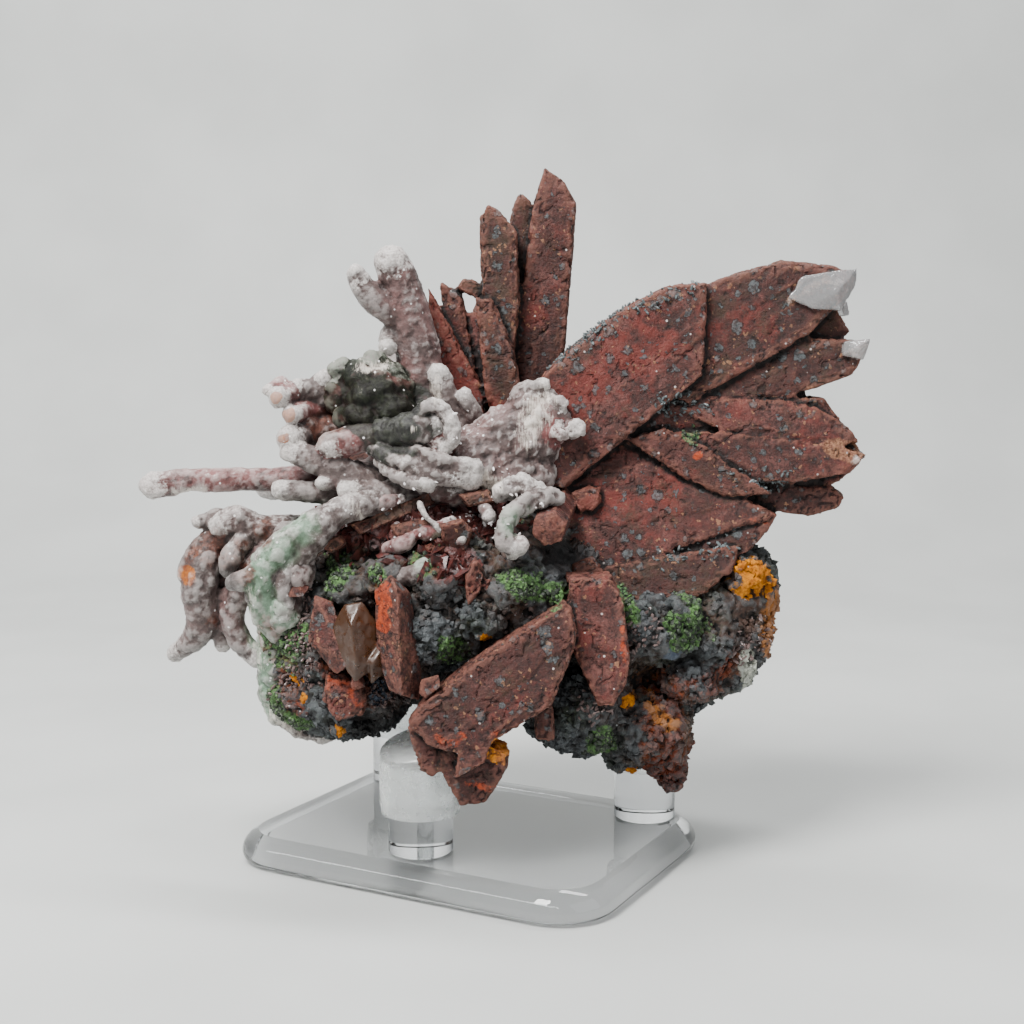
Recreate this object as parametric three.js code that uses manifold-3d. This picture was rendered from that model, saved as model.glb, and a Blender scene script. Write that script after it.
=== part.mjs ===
// A cluster of iron-stained quartz crystals grown on a lump of ironstone, resting on a clear stand
// with three posts. Millimetres, +Z up. The origin is the middle of the plate's underside, and the
// display side of the cluster faces -Y.
import * as THREE from "three";
import { ConvexGeometry } from "three/addons/geometries/ConvexGeometry.js";
import { mergeVertices } from "three/addons/utils/BufferGeometryUtils.js";
import Module from "manifold-3d";

const wasm = await Module();
wasm.setup();

// ---------- driving sizes ----------

const INCH = 25.4;
const SEAT_GAP = 0.3;

const PLATE = {
  length: 82.4,
  width: 62.2,
  thickness: INCH / 4,
  corner: 12,
  // the polished side: how far the top, the underside and the foot stay inside the widest line, the
  // height of that line, and how far the underside's rim stands off the table
  topInset: 3.4,
  underInset: 1.8,
  footInset: 5.5,
  widest: 2.2,
  rimLift: 0.3,
  steps: 2,
  turn: THREE.MathUtils.degToRad(-28),
};
const ROD = { radius: INCH / 4, sides: 16 };
const CAP = {
  radius: (INCH * 5) / 16,
  height: 14,
  topThickness: 3.5,
  rounding: 2.5,
  lip: 0.4,
  chamfer: 1,
  slope: 0.25,
  sides: 16,
};
// Where each post stands on the plate, along its length and across it, and how high its cap starts.
const POSTS = [
  { name: "front", along: 0, across: -20, capBase: 14 },
  { name: "back_right", along: 30, across: 20.5, capBase: 17 },
  { name: "back_left", along: -30, across: 20.5, capBase: 17 },
];

const SLAB = { bevel: 1, shoulder: 0.35, leastReach: 0.2 };
const PRISM = { sides: 6, stagger: 0.18, apexShift: 0.12 };
const FINGER = { sides: 6, rings: 1, steep: 0.7 };
const ROUND_END = Math.SQRT1_2;

// ---------- materials ----------

const ironQuartz = new THREE.MeshStandardMaterial({ color: 0x6e3f38, roughness: 0.85, metalness: 0 });
const clearPlastic = new THREE.MeshStandardMaterial({
  color: 0xeef2f5,
  roughness: 0.05,
  metalness: 0,
  transparent: true,
  opacity: 0.35,
});
const frostedPlastic = new THREE.MeshStandardMaterial({
  color: 0xdfe6e2,
  roughness: 0.45,
  metalness: 0,
  transparent: true,
  opacity: 0.7,
});

// ---------- the cluster's forms ----------

// Broad blades and broken prisms seen from the display side: an outline in X and Z, the Y of the front
// face at the middle of the outline, the depth behind it, and how far that face leans per millimetre
// along X and along Z.
const SLABS = [
  // the upright group
  {
    outline: [[15, 140], [18.5, 138], [21.5, 133], [21, 124], [19, 99], [18, 90], [7.5, 90], [10, 110],
      [12.5, 132]],
    front: 6, depth: 10,
  },
  {
    outline: [[3.5, 132.5], [5.5, 131.5], [9.5, 127], [10, 112], [8, 95], [3, 95], [2, 124], [2, 130]],
    front: 2, depth: 8,
  },
  {
    outline: [[10, 135.5], [12, 134], [13, 132], [13, 100], [8, 100], [8, 131]],
    front: 9, depth: 6,
  },
  {
    outline: [[1, 114], [4.5, 113.5], [9, 103.5], [11, 90], [6, 86], [3, 94], [2, 110]],
    front: -1, depth: 7,
  },
  {
    outline: [[-6.5, 116], [-6, 117], [-3.5, 116], [-1.5, 114], [1.5, 97], [-2, 95], [-6, 113]],
    front: 6, depth: 5,
  },
  {
    outline: [[-8.5, 116], [-6.5, 112.5], [3, 95], [3, 86], [-4, 86], [-8.5, 100]],
    front: 2, depth: 6,
  },
  {
    outline: [[-1, 111], [1.5, 111.5], [5, 104], [5, 90], [0, 90], [-2, 106]],
    front: 7, depth: 5,
  },
  {
    outline: [[-3, 116], [-1.5, 118], [1, 117.5], [3, 116], [2, 113.5], [-1.5, 114.5]],
    front: 5, depth: 4,
  },
  // the fan of blades to the right
  {
    outline: [[15, 99], [19.5, 103.5], [29, 111], [35, 112.5], [39, 116], [46.5, 116.5], [46.5, 110],
      [46, 98.5], [35.5, 92], [18.5, 76], [8, 80], [8, 90]],
    front: -9, depth: 10, lean: [0.02, 0.04],
  },
  {
    outline: [[40, 113], [49.5, 117.5], [57, 118.5], [62, 121], [70.5, 120], [75, 119], [75, 116.5],
      [72, 111.5], [67, 106], [43, 92.5], [34, 95]],
    front: -5.5, depth: 10, lean: [0, 0.06],
  },
  {
    outline: [[69.5, 113], [73, 112], [76, 107], [73.5, 104.5], [63.5, 104], [62, 110]],
    front: -1.5, depth: 7,
  },
  {
    outline: [[67, 106], [72, 104.5], [79, 105], [77.5, 101], [76, 98.5], [65.5, 94.5], [43, 89],
      [43, 93], [52.5, 98]],
    front: -5, depth: 9, lean: [0, 0.08],
  },
  {
    outline: [[28, 87], [37.5, 93.5], [57, 95], [65.5, 94.5], [70.5, 94], [75, 88], [78.3, 83],
      [77.5, 80], [74, 77], [63.5, 75], [52.5, 74], [44, 77], [34, 82]],
    front: -5, depth: 11, lean: [0.03, -0.05],
  },
  {
    outline: [[40, 92.3], [50, 93.8], [60, 94], [68, 92.5], [75, 88.3], [77, 85], [66, 84.5], [50, 87]],
    front: -6.6, depth: 7, lean: [-0.02, 0.12],
  },
  {
    outline: [[36, 87.5], [48, 87.5], [62, 86], [72, 85], [78.3, 82.7], [75, 79], [64, 77], [50, 77.5]],
    front: -7.7, depth: 7, lean: [-0.02, 0.06],
  },
  {
    outline: [[30, 86], [38, 88.5], [46, 85], [53, 79], [60, 75], [50, 74.5], [42, 78]],
    front: -8.4, depth: 7, lean: [-0.03, 0.06],
  },
  {
    outline: [[44, 77], [54, 73.5], [63.5, 73], [72.5, 76.3], [75, 74.3], [74, 72], [68, 70],
      [60, 71.5], [52, 72.5]],
    front: -4.5, depth: 8, lean: [0, -0.1],
  },
  {
    outline: [[17, 75.5], [31, 86], [43.5, 80.5], [51, 73.5], [61, 71], [46, 67], [32, 61.5],
      [21, 60.5], [16, 66]],
    front: -9, depth: 11, lean: [0, 0.27],
  },
  {
    outline: [[31, 62.5], [37, 64.5], [46, 68.5], [61, 71.2], [58, 66.5], [55.5, 64], [46, 60], [34, 58]],
    front: -10, depth: 9, lean: [0, 0.25],
  },
  {
    outline: [[22, 60.5], [31, 62], [40, 64], [53.5, 65.5], [52, 60.5], [46, 55.5], [38, 54], [26, 55]],
    front: -12.5, depth: 11, lean: [0, 0.3],
  },
  {
    outline: [[19.5, 75.5], [23.5, 77], [26, 76.5], [26, 73.5], [24, 71.5], [21.5, 71.5]],
    front: -10.5, depth: 6,
  },
  {
    outline: [[20, 62], [24, 63.5], [27, 60.5], [24, 57], [19.5, 58]],
    front: -15, depth: 6, lean: [0.1, 0.1],
  },
  // the lower face
  {
    outline: [[18, 57], [19.5, 56], [20.5, 51], [20, 48], [16, 41], [16, 38], [12.5, 35.5], [3.5, 30.5],
      [1, 29], [-3.5, 29.5], [-7.5, 31], [-11, 35], [-8.5, 38.5], [3.5, 48]],
    front: -31, depth: 9, lean: [0.06, 0.08],
  },
  {
    outline: [[12.5, 36], [16, 37.5], [16.5, 33.5], [16.5, 30], [12.5, 30.5]],
    front: -27, depth: 8,
  },
  {
    outline: [[19.5, 60], [26, 61], [31.5, 57.5], [29, 50], [30.5, 45.5], [30, 40.5], [28, 36],
      [22, 37.5], [21, 49]],
    front: -26, depth: 14, lean: [0, 0.1],
  },
  {
    outline: [[-22, 43.6], [-20, 43.3], [-19.2, 40.4], [-21.9, 39.4]],
    front: -26, depth: 5,
  },
  {
    outline: [[-27, 42], [-21, 41.5], [-18.5, 38.5], [-20, 34], [-25, 33], [-28, 37]],
    front: -22.5, depth: 7, lean: [0.1, 0.1],
  },
  {
    outline: [[-0.5, 62], [1.6, 65.6], [3.6, 62], [2.6, 58.5], [0.2, 56]],
    front: -27.5, depth: 5, lean: [0.3, 0],
  },
  {
    outline: [[-5, 31], [4.5, 31], [8, 29], [7.6, 25.5], [3.6, 18.8], [-1.5, 18.2], [-3.5, 22.5],
      [-5.5, 26]],
    front: -30, depth: 9, lean: [0, -0.15],
  },
  {
    outline: [[-1.5, 31.5], [5, 31], [3.5, 27.5], [-2.5, 24.5]],
    front: -32.3, depth: 5, lean: [0, 0.1],
  },
  {
    outline: [[-11, 34], [-4, 32], [-5, 25], [-6.5, 24], [-9, 25.5]],
    front: -30, depth: 6,
  },
];

// Broken crystals given by their corners.
const BLOCKS = [
  // the lower face
  [[-14.2, -27.5, 62.3], [-17.2, -26, 59], [-12.5, -31.5, 60], [-10.4, -26, 58.6], [-16.8, -27, 47],
    [-14.5, -28, 40.5], [-12.2, -32.5, 50], [-11.8, -32.5, 40.5], [-8.5, -27, 44.4], [-8.8, -27, 38.3],
    [-14, -18, 60], [-15, -18, 41], [-9, -18, 41]],
  [[-28.8, -22.5, 57.5], [-25.3, -22, 56], [-24.7, -24, 49], [-22, -27, 45], [-24.5, -25, 42.5],
    [-30.2, -23.5, 49], [-29, -22.5, 54.5], [-27, -14, 55], [-24, -14, 44], [-30, -14, 47]],
  [[-32.8, -19, 61.6], [-34.5, -20, 58.4], [-33.8, -21.5, 56.8], [-30.9, -21.5, 56.8],
    [-30, -19.5, 58.4], [-32.3, -13, 58]],
  [[-41.3, -14, 49.2], [-38.3, -16, 50], [-37.8, -16, 46], [-40.2, -15, 44.8], [-38, -10, 48]],
  [[-8.4, -31.5, 43.3], [-5, -32, 44.4], [-4.6, -32, 42], [-7.6, -31.5, 39.7], [-8.9, -31, 40.5],
    [-6, -24, 42]],
  // the clear ends of the fan
  [[62, -6.2, 113.4], [64.6, -6.6, 117.6], [71, -7, 118.6], [75.7, -5.8, 119.2], [75.8, -4.8, 116],
    [72.6, -6.2, 110.8], [66.6, -6.4, 111.2], [71.5, -7.8, 114.5], [68, 0, 113], [75, 0, 118],
    [72, 0, 112]],
  [[73.2, -6, 102.2], [73.4, -6, 105], [79.2, -4.2, 105.6], [77.8, -4.2, 101.2], [75.8, -6.8, 103.6],
    [73, 1, 102], [78, 1, 105]],
  // the smoky pair
  [[-23, -25.5, 56.3], [-20, -26, 56.6], [-25, -24.5, 52], [-18.4, -25.5, 52.5], [-21.3, -29, 53],
    [-20.8, -29, 46], [-24.3, -25, 46.5], [-18.8, -26, 45], [-21.5, -27, 42], [-23, -18, 52],
    [-19, -18, 50]],
  [[-19.5, -26, 48], [-14.5, -27, 49.5], [-13.6, -26, 44.5], [-17.6, -29, 45.5], [-18, -26, 41],
    [-16, -20, 46], [-20, -22, 44]],
];

// Six-sided prisms: the middle of the root, the point, the width and depth, and the length of the point.
const PRISMS = [
  // the short stub whose six-sided end faces the viewer
  { root: [19, -2, 74], tip: [15, -25, 70], width: 7, depth: 7, point: 1 },
  { root: [2, -20, 57], tip: [4, -27, 61], width: 3, depth: 3, point: 2 },
  // behind the upright group
  { root: [8, 14, 78], tip: [2, 27, 120], width: 9, depth: 8, point: 9 },
  { root: [18, 12, 80], tip: [24, 27, 108], width: 10, depth: 9, point: 10 },
  { root: [14, 8, 80], tip: [13, 19, 127], width: 7, depth: 7, point: 7 },
  { root: [-4, 12, 78], tip: [-9, 28, 106], width: 8, depth: 7, point: 7 },
  { root: [24, 14, 74], tip: [38, 34, 104], width: 11, depth: 9, point: 10 },
  // behind the fan
  { root: [30, 8, 84], tip: [60, 16, 108], width: 13, depth: 9, point: 10 },
  { root: [30, 8, 78], tip: [69, 14, 93], width: 12, depth: 9, point: 9 },
  { root: [28, 14, 70], tip: [62, 28, 84], width: 12, depth: 10, point: 10 },
  { root: [30, 10, 66], tip: [66, 18, 70], width: 10, depth: 8, point: 8 },
  { root: [20, 20, 66], tip: [44, 42, 78], width: 11, depth: 10, point: 10 },
  // behind the fingers
  { root: [0, 18, 70], tip: [-4, 42, 88], width: 10, depth: 9, point: 9 },
  { root: [-14, 16, 66], tip: [-30, 34, 82], width: 9, depth: 8, point: 8 },
  { root: [-8, 20, 60], tip: [-18, 43, 66], width: 9, depth: 9, point: 8 },
  { root: [14, 22, 56], tip: [22, 44, 60], width: 10, depth: 9, point: 9 },
  { root: [44, 8, 54], tip: [60, 26, 60], width: 9, depth: 8, point: 7 },
];

// Nodular fingers and arms of pale silica: points with a radius, from the root to the end.
const FINGERS = [
  [[-20, -3, 78, 3.5], [-38, -7, 78, 2.7], [-50, -9, 78, 2.5], [-55, -10, 78, 2.4], [-62, -10, 77, 3]],
  [[-18, -8, 75, 3], [-31, -12, 76, 2.5], [-35, -13, 76, 2.3]],
  [[-10, -10, 74, 3.5], [-22, -14, 76, 2.2]],
  [[-20, -6, 76, 3.5], [-29, -11, 80, 3], [-33, -12, 83, 2.5]],
  [[-14, -6, 86, 3.5], [-21, -10, 86, 3], [-26, -12, 85, 2.6]],
  [[-23, -2, 93, 3.5], [-31, -6, 96, 2.6], [-35, -8, 96, 2]],
  [[-28, -3, 94, 2.5], [-36, -10, 94, 1.7], [-38, -12, 93, 1.6]],
  [[-28, -3, 92, 2.5], [-34, -12, 91, 1.6]],
  [[-24, -3, 88, 4], [-34, -9, 86, 2.6], [-36, -13, 86, 2.4]],
  // the tall trunk with its two knobs
  [[-6, -2, 82, 6.2], [-9, -2, 94, 5.2], [-11, -2, 106, 4.8], [-13.5, -3, 116, 4.5], [-15, -4, 120, 4.1]],
  [[-12, -3, 107, 3], [-18, -5, 113, 2.9], [-21.6, -6, 117.2, 2.6]],
  [[0, -3, 86, 3.5], [-4, -5, 93, 3], [-6, -6, 98, 2.5]],
  // the arm that reaches down to the left
  [[-14, -10, 75, 4], [-25, -17, 73, 3.2], [-33, -19, 68, 3.2], [-39, -19, 61, 3.4], [-38, -17, 51, 2.8]],
  // the hanging pair at the left
  [[-34, -8, 67, 4], [-41, -10, 68, 3.6], [-46, -12, 69, 4], [-51, -12, 67, 3.5]],
  [[-49, -12, 68, 3.5], [-52, -12, 62, 4], [-53, -12, 57, 4], [-53, -10, 50, 3.6], [-55, -9, 46, 3],
    [-59, -8, 43, 1.8]],
  [[-36, -10, 65, 3.5], [-43, -12, 60, 3.2], [-46, -12, 53, 2.8], [-45, -11, 47, 2.3], [-42, -10, 43, 2.5]],
  [[-45, -10, 54, 3], [-48, -8, 45, 2]],
  // the pale crust over the roots of the blades, and the curl round the stub
  [[-6, -8, 77, 6], [4, -8, 80, 6]],
  [[-16, -12, 87, 3], [-10, -14, 88, 4], [-7, -14, 88, 4]],
  [[-17, -14, 83, 2.6], [-9, -16, 82, 3.2], [-3, -15, 79, 4]],
  [[8, -17, 77, 2.4], [15.5, -20, 76, 1.8], [9.5, -24, 74, 1.7], [7, -25, 70, 1.8], [9.4, -24.5, 66.6, 2.3]],
  // the green crust down the left edge
  [[-35, -12, 66, 5], [-38, -14, 55, 4.5], [-38, -12, 45, 4.5], [-38, -10, 35, 4.5], [-32, -9, 28, 4]],
  // more fingers round the back
  [[-16, 8, 84, 5], [-26, 16, 90, 3.5], [-33, 22, 93, 3]],
  [[-20, 8, 76, 5], [-34, 16, 76, 3.4], [-44, 22, 74, 3]],
  [[-18, 12, 70, 5], [-32, 26, 66, 3.6], [-38, 33, 64, 3]],
  [[-12, 12, 84, 5], [-16, 24, 98, 3.6], [-17, 29, 104, 3]],
];

// Rounded lumps: the middle, the three radii and the fineness of the facets.
const LUMPS = [
  { at: [2, 4, 60], radii: [34, 24, 22], detail: 1 },
  { at: [18, 2, 52], radii: [32, 24, 22], detail: 1 },
  { at: [-19, 3, 52], radii: [23, 21, 24], detail: 1 },
  { at: [-30, -6, 46], radii: [12, 15, 20], detail: 1 },
  { at: [-24, -8, 34], radii: [14, 14, 8], detail: 1 },
  { at: [-1, -19, 56], radii: [15, 8, 13], detail: 1 },
  { at: [11, -16, 59], radii: [14, 9, 10], detail: 1 },
  { at: [22, -10, 33], radii: [13, 12, 9], detail: 1 },
  { at: [46, -3, 47], radii: [15, 15, 15], detail: 1 },
  { at: [55, 0, 53], radii: [8, 12, 10], detail: 1 },
  { at: [35, -14, 48], radii: [10, 8, 11], detail: 1 },
  { at: [38, -6, 28], radii: [9, 12, 9], detail: 1 },
  { at: [50, -3, 42], radii: [11, 11, 9], detail: 1 },
  { at: [41, -7, 21], radii: [4.8, 5, 6.5], detail: 1 },
  { at: [-6, 2, 73], radii: [22, 17, 10], detail: 1 },
  { at: [-10, -8, 70], radii: [18, 8, 8], detail: 1 },
  // the pale crust on the largest blade
  { at: [3, -8, 82], radii: [10, 6.6, 7.5], detail: 1 },
  { at: [11, -9, 88], radii: [9, 4.8, 8.6], detail: 1 },
  // the mossy knob and the bump beside it
  { at: [-19, -2, 93], radii: [9, 9, 9], detail: 1 },
  { at: [-25.5, -5, 95.5], radii: [4.5, 5, 4.5], detail: 1 },
  // the back of the ironstone
  { at: [-14, 24, 50], radii: [22, 16, 20], detail: 1 },
  { at: [18, 24, 52], radii: [24, 16, 22], detail: 1 },
  { at: [42, 14, 46], radii: [16, 14, 16], detail: 1 },
  { at: [-17, 30, 38], radii: [12, 12, 10], detail: 1 },
  { at: [36, 6, 34], radii: [13, 12, 9], detail: 1 },
];
const ROUGHNESS = { share: 0.12, cell: 9 };

// ---------- helpers ----------

/** A whole number turned into a repeatable value from -1 to 1. */
function hash(i, j, k) {
  const s = Math.sin(i * 127.1 + j * 311.7 + k * 74.7) * 43758.5453;
  return 2 * (s - Math.floor(s)) - 1;
}

/** Smooth value noise from -1 to 1 at a point, on a grid of the given cell. */
function noise(point, cell) {
  const p = point.clone().divideScalar(cell);
  const base = p.clone().floor();
  const f = p.sub(base);
  const ease = (t) => t * t * (3 - 2 * t);
  const [u, v, w] = [ease(f.x), ease(f.y), ease(f.z)];
  let sum = 0;
  for (const i of [0, 1]) {
    for (const j of [0, 1]) {
      for (const k of [0, 1]) {
        const share = (i ? u : 1 - u) * (j ? v : 1 - v) * (k ? w : 1 - w);
        sum += share * hash(base.x + i, base.y + j, base.z + k);
      }
    }
  }
  return sum;
}

/** A closed geometry with its shared corners merged, as a solid that can be joined and cut. */
function solidOf(geometry) {
  const bare = geometry.clone();
  bare.deleteAttribute("normal");
  bare.deleteAttribute("uv");
  const merged = mergeVertices(bare, 1e-4);
  return new wasm.Manifold(
    new wasm.Mesh({
      numProp: 3,
      vertProperties: new Float32Array(merged.attributes.position.array),
      triVerts: new Uint32Array(merged.index.array),
    }),
  );
}

/** A solid turned back into a geometry with flat faces. */
function geometryOf(solid) {
  const mesh = solid.getMesh();
  const geometry = new THREE.BufferGeometry();
  geometry.setAttribute("position", new THREE.BufferAttribute(mesh.vertProperties, 3));
  geometry.setIndex(new THREE.BufferAttribute(mesh.triVerts, 1));
  const faceted = geometry.toNonIndexed();
  faceted.computeVertexNormals();
  return faceted;
}

/** The largest closed surface of a solid, so that pockets sealed inside it are filled. */
function filled(solid) {
  const shells = solid.decompose().sort((a, b) => b.volume() - a.volume());
  return shells[0];
}

/** A blade or broken prism: its outline at mid depth, with smaller front and back faces. */
function slabGeometry({ outline, front, depth, lean = [0, 0] }) {
  const middle = outline
    .reduce((sum, [x, z]) => sum.add(new THREE.Vector2(x, z)), new THREE.Vector2())
    .divideScalar(outline.length);
  const points = [];
  for (const [x, z] of outline) {
    const out = new THREE.Vector2(x, z).sub(middle);
    const inset = out.clone().setLength(Math.max(out.length() - SLAB.bevel, SLAB.leastReach));
    for (const [offset, back] of [[inset, 0], [out, SLAB.shoulder * depth], [inset, depth]]) {
      const y = front + back + lean[0] * offset.x + lean[1] * offset.y;
      points.push(new THREE.Vector3(middle.x + offset.x, y, middle.y + offset.y));
    }
  }
  return new ConvexGeometry(points);
}

/** A broken crystal as the hull of its corners. */
function blockGeometry(corners) {
  return new ConvexGeometry(corners.map((corner) => new THREE.Vector3(...corner)));
}

/** A six-sided prism from its root to a pyramid whose apex leans a little off the axis. */
function prismGeometry({ root, tip, width, depth, point }) {
  const start = new THREE.Vector3(...root);
  const axis = new THREE.Vector3(...tip).sub(start);
  const length = axis.length();
  axis.normalize();
  const side = new THREE.Vector3().crossVectors(axis, new THREE.Vector3(0, -1, 0)).normalize();
  const face = new THREE.Vector3().crossVectors(side, axis);
  const points = [];
  for (let k = 0; k < PRISM.sides; k += 1) {
    const angle = (2 * k * Math.PI) / PRISM.sides;
    const across = (Math.cos(angle) * width) / 2;
    const forward = (Math.sin(angle) * depth) / 2;
    const shoulder = length - point * (1 + PRISM.stagger * hash(k, root[0], tip[2]));
    for (const along of [0, shoulder]) {
      const corner = start.clone().addScaledVector(axis, along);
      points.push(corner.addScaledVector(side, across).addScaledVector(face, forward));
    }
  }
  points.push(start.clone().addScaledVector(axis, length).addScaledVector(side, PRISM.apexShift * width));
  return new ConvexGeometry(points);
}

/** A round-ended finger whose radius changes along a smooth curve through its points. */
function fingerGeometry(stations) {
  const curve = new THREE.CatmullRomCurve3(stations.map(([x, y, z]) => new THREE.Vector3(x, y, z)));
  const spans = stations.length - 1;
  const segments = FINGER.rings * spans;
  const radiusAt = (t) => {
    const k = Math.min(Math.floor(t * spans), spans - 1);
    return THREE.MathUtils.lerp(stations[k][3], stations[k + 1][3], t * spans - k);
  };
  const first = radiusAt(0);
  const last = radiusAt(1);
  const profile = [new THREE.Vector2(0, -first), new THREE.Vector2(ROUND_END * first, -ROUND_END * first)];
  for (let i = 0; i <= segments; i += 1) {
    profile.push(new THREE.Vector2(radiusAt(i / segments), i / segments));
  }
  profile.push(new THREE.Vector2(ROUND_END * last, 1 + ROUND_END * last), new THREE.Vector2(0, 1 + last));

  const run = curve.getPoint(1).sub(curve.getPoint(0)).normalize();
  const guide = Math.abs(run.z) > FINGER.steep ? new THREE.Vector3(0, 1, 0) : new THREE.Vector3(0, 0, 1);
  const geometry = new THREE.LatheGeometry(profile, FINGER.sides);
  const place = geometry.attributes.position;
  for (let i = 0; i < place.count; i += 1) {
    const height = place.getY(i);
    const t = THREE.MathUtils.clamp(height, 0, 1);
    const tangent = curve.getTangent(t);
    const side = new THREE.Vector3().crossVectors(tangent, guide).normalize();
    const other = new THREE.Vector3().crossVectors(side, tangent);
    const at = curve
      .getPoint(t)
      .addScaledVector(side, place.getX(i))
      .addScaledVector(other, place.getZ(i))
      .addScaledVector(tangent, height - t);
    place.setXYZ(i, at.x, at.y, at.z);
  }
  return geometry;
}

/** A rounded lump with an uneven surface. */
function lumpGeometry({ at, radii, detail }) {
  const geometry = new THREE.IcosahedronGeometry(1, detail);
  const place = geometry.attributes.position;
  const middle = new THREE.Vector3(...at);
  const scale = new THREE.Vector3(...radii);
  for (let i = 0; i < place.count; i += 1) {
    const out = new THREE.Vector3().fromBufferAttribute(place, i).multiply(scale);
    const swell = 1 + ROUGHNESS.share * noise(out.clone().add(middle), ROUGHNESS.cell);
    out.multiplyScalar(swell).add(middle);
    place.setXYZ(i, out.x, out.y, out.z);
  }
  return geometry;
}

/** A rectangle with round corners at a height, this far inside the plate's widest line. */
function plateRing([inset, height]) {
  const radius = PLATE.corner - inset;
  const x = PLATE.length / 2 - PLATE.corner;
  const y = PLATE.width / 2 - PLATE.corner;
  const outline = new THREE.Path();
  outline.absarc(x, y, radius, 0, Math.PI / 2);
  outline.absarc(-x, y, radius, Math.PI / 2, Math.PI);
  outline.absarc(-x, -y, radius, Math.PI, 1.5 * Math.PI);
  outline.absarc(x, -y, radius, 1.5 * Math.PI, 2 * Math.PI);
  return outline.getPoints(PLATE.steps).map((p) => new THREE.Vector3(p.x, p.y, height));
}

/** The plate, whose sides swell to a widest line low down and draw in to the foot. */
function plateGeometry() {
  const rim = [[PLATE.footInset, 0]];
  for (let k = 0; k <= PLATE.steps; k += 1) {
    const angle = (k / PLATE.steps) * (Math.PI / 2);
    const [across, up] = [Math.sin(angle), 1 - Math.cos(angle)];
    rim.push([PLATE.underInset * (1 - across), PLATE.rimLift + (PLATE.widest - PLATE.rimLift) * up]);
  }
  for (let k = 1; k <= PLATE.steps; k += 1) {
    const angle = (k / PLATE.steps) * (Math.PI / 2);
    const [across, up] = [Math.cos(angle), Math.sin(angle)];
    rim.push([PLATE.topInset * (1 - across), PLATE.widest + (PLATE.thickness - PLATE.widest) * up]);
  }
  return new ConvexGeometry(rim.flatMap(plateRing));
}

/** How far the rod of a post reaches above the plate's underside. */
function rodTop(post) {
  return post.capBase + CAP.height - CAP.topThickness - SEAT_GAP;
}

function rodGeometry(post) {
  const height = rodTop(post) - PLATE.thickness;
  const geometry = new THREE.CylinderGeometry(ROD.radius, ROD.radius, height, ROD.sides);
  return geometry.rotateX(Math.PI / 2).translate(0, 0, PLATE.thickness + height / 2);
}

/** Lifts everything above a height towards the back, so that the cap's top slopes. */
function slopeTop(geometry, from) {
  const place = geometry.attributes.position;
  for (let i = 0; i < place.count; i += 1) {
    if (place.getZ(i) > from) {
      place.setZ(i, place.getZ(i) + CAP.slope * (place.getX(i) + place.getY(i)) * Math.SQRT1_2);
    }
  }
  return geometry;
}

/** The cap: a thick soft sleeve, closed on top, with a blind pocket over the rod. */
function capGeometry(post) {
  const top = post.capBase + CAP.height;
  const inner = ROD.radius + SEAT_GAP;
  const pocketTop = top - CAP.topThickness;
  const outline = new THREE.Path();
  outline.moveTo(0, pocketTop);
  outline.lineTo(inner, pocketTop);
  outline.lineTo(inner, post.capBase);
  outline.lineTo(inner + CAP.lip, post.capBase);
  outline.quadraticCurveTo(CAP.radius, post.capBase, CAP.radius, post.capBase + CAP.rounding);
  outline.lineTo(CAP.radius, top - CAP.chamfer);
  outline.lineTo(CAP.radius - CAP.chamfer, top);
  outline.lineTo(0, top);
  const geometry = new THREE.LatheGeometry(outline.getPoints(2), CAP.sides);
  return slopeTop(geometry.rotateX(Math.PI / 2), top - 2 * CAP.chamfer);
}

/** The room that a cap and the rod under it take out of the cluster, with the gap all round. */
function seatGeometry(post) {
  const top = post.capBase + CAP.height + SEAT_GAP;
  const radius = CAP.radius + SEAT_GAP;
  const outline = [new THREE.Vector2(0, 0), new THREE.Vector2(radius, 0)];
  outline.push(new THREE.Vector2(radius, top), new THREE.Vector2(0, top));
  return slopeTop(new THREE.LatheGeometry(outline, CAP.sides).rotateX(Math.PI / 2), 1);
}

/** A post's foot on the plate, turned with the plate. */
function postFoot({ along, across }) {
  return new THREE.Vector3(along, across, 0).applyAxisAngle(new THREE.Vector3(0, 0, 1), PLATE.turn);
}

/** Everything that grew together, joined, with the caps' seats cut out of its underside. */
function clusterGeometry() {
  const forms = [
    ...SLABS.map(slabGeometry),
    ...BLOCKS.map(blockGeometry),
    ...PRISMS.map(prismGeometry),
    ...FINGERS.map(fingerGeometry),
    ...LUMPS.map(lumpGeometry),
  ];
  const whole = forms.map(solidOf).reduce((joined, form) => joined.add(form));
  const seats = POSTS.map((post) => solidOf(seatGeometry(post).translate(...postFoot(post))));
  const cut = seats.reduce((rest, seat) => rest.subtract(seat), whole);
  return geometryOf(filled(cut));
}

function namedMesh(name, geometry, material) {
  const mesh = new THREE.Mesh(geometry, material);
  mesh.name = name;
  return mesh;
}

// ---------- assembly ----------

const stand = new THREE.Group();
stand.rotation.z = PLATE.turn;
stand.add(namedMesh("stand_plate", plateGeometry(), clearPlastic));
for (const post of POSTS) {
  const holder = new THREE.Group();
  holder.position.set(post.along, post.across, 0);
  holder.rotation.z = -PLATE.turn;
  holder.add(namedMesh("rod_" + post.name, rodGeometry(post), clearPlastic));
  holder.add(namedMesh("cap_" + post.name, capGeometry(post), frostedPlastic));
  stand.add(holder);
}

const specimen = new THREE.Group();
specimen.add(namedMesh("quartz_cluster", clusterGeometry(), ironQuartz));
specimen.add(stand);

export default specimen;
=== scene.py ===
"""The looks of an iron-stained quartz cluster on a clear three-post stand.

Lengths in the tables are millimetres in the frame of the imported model: +Z up, the display side
towards -Y, the origin in the middle of the stand plate's underside.
"""

import logging
import math
from collections.abc import Callable, Sequence
from dataclasses import dataclass
from enum import Enum

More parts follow.
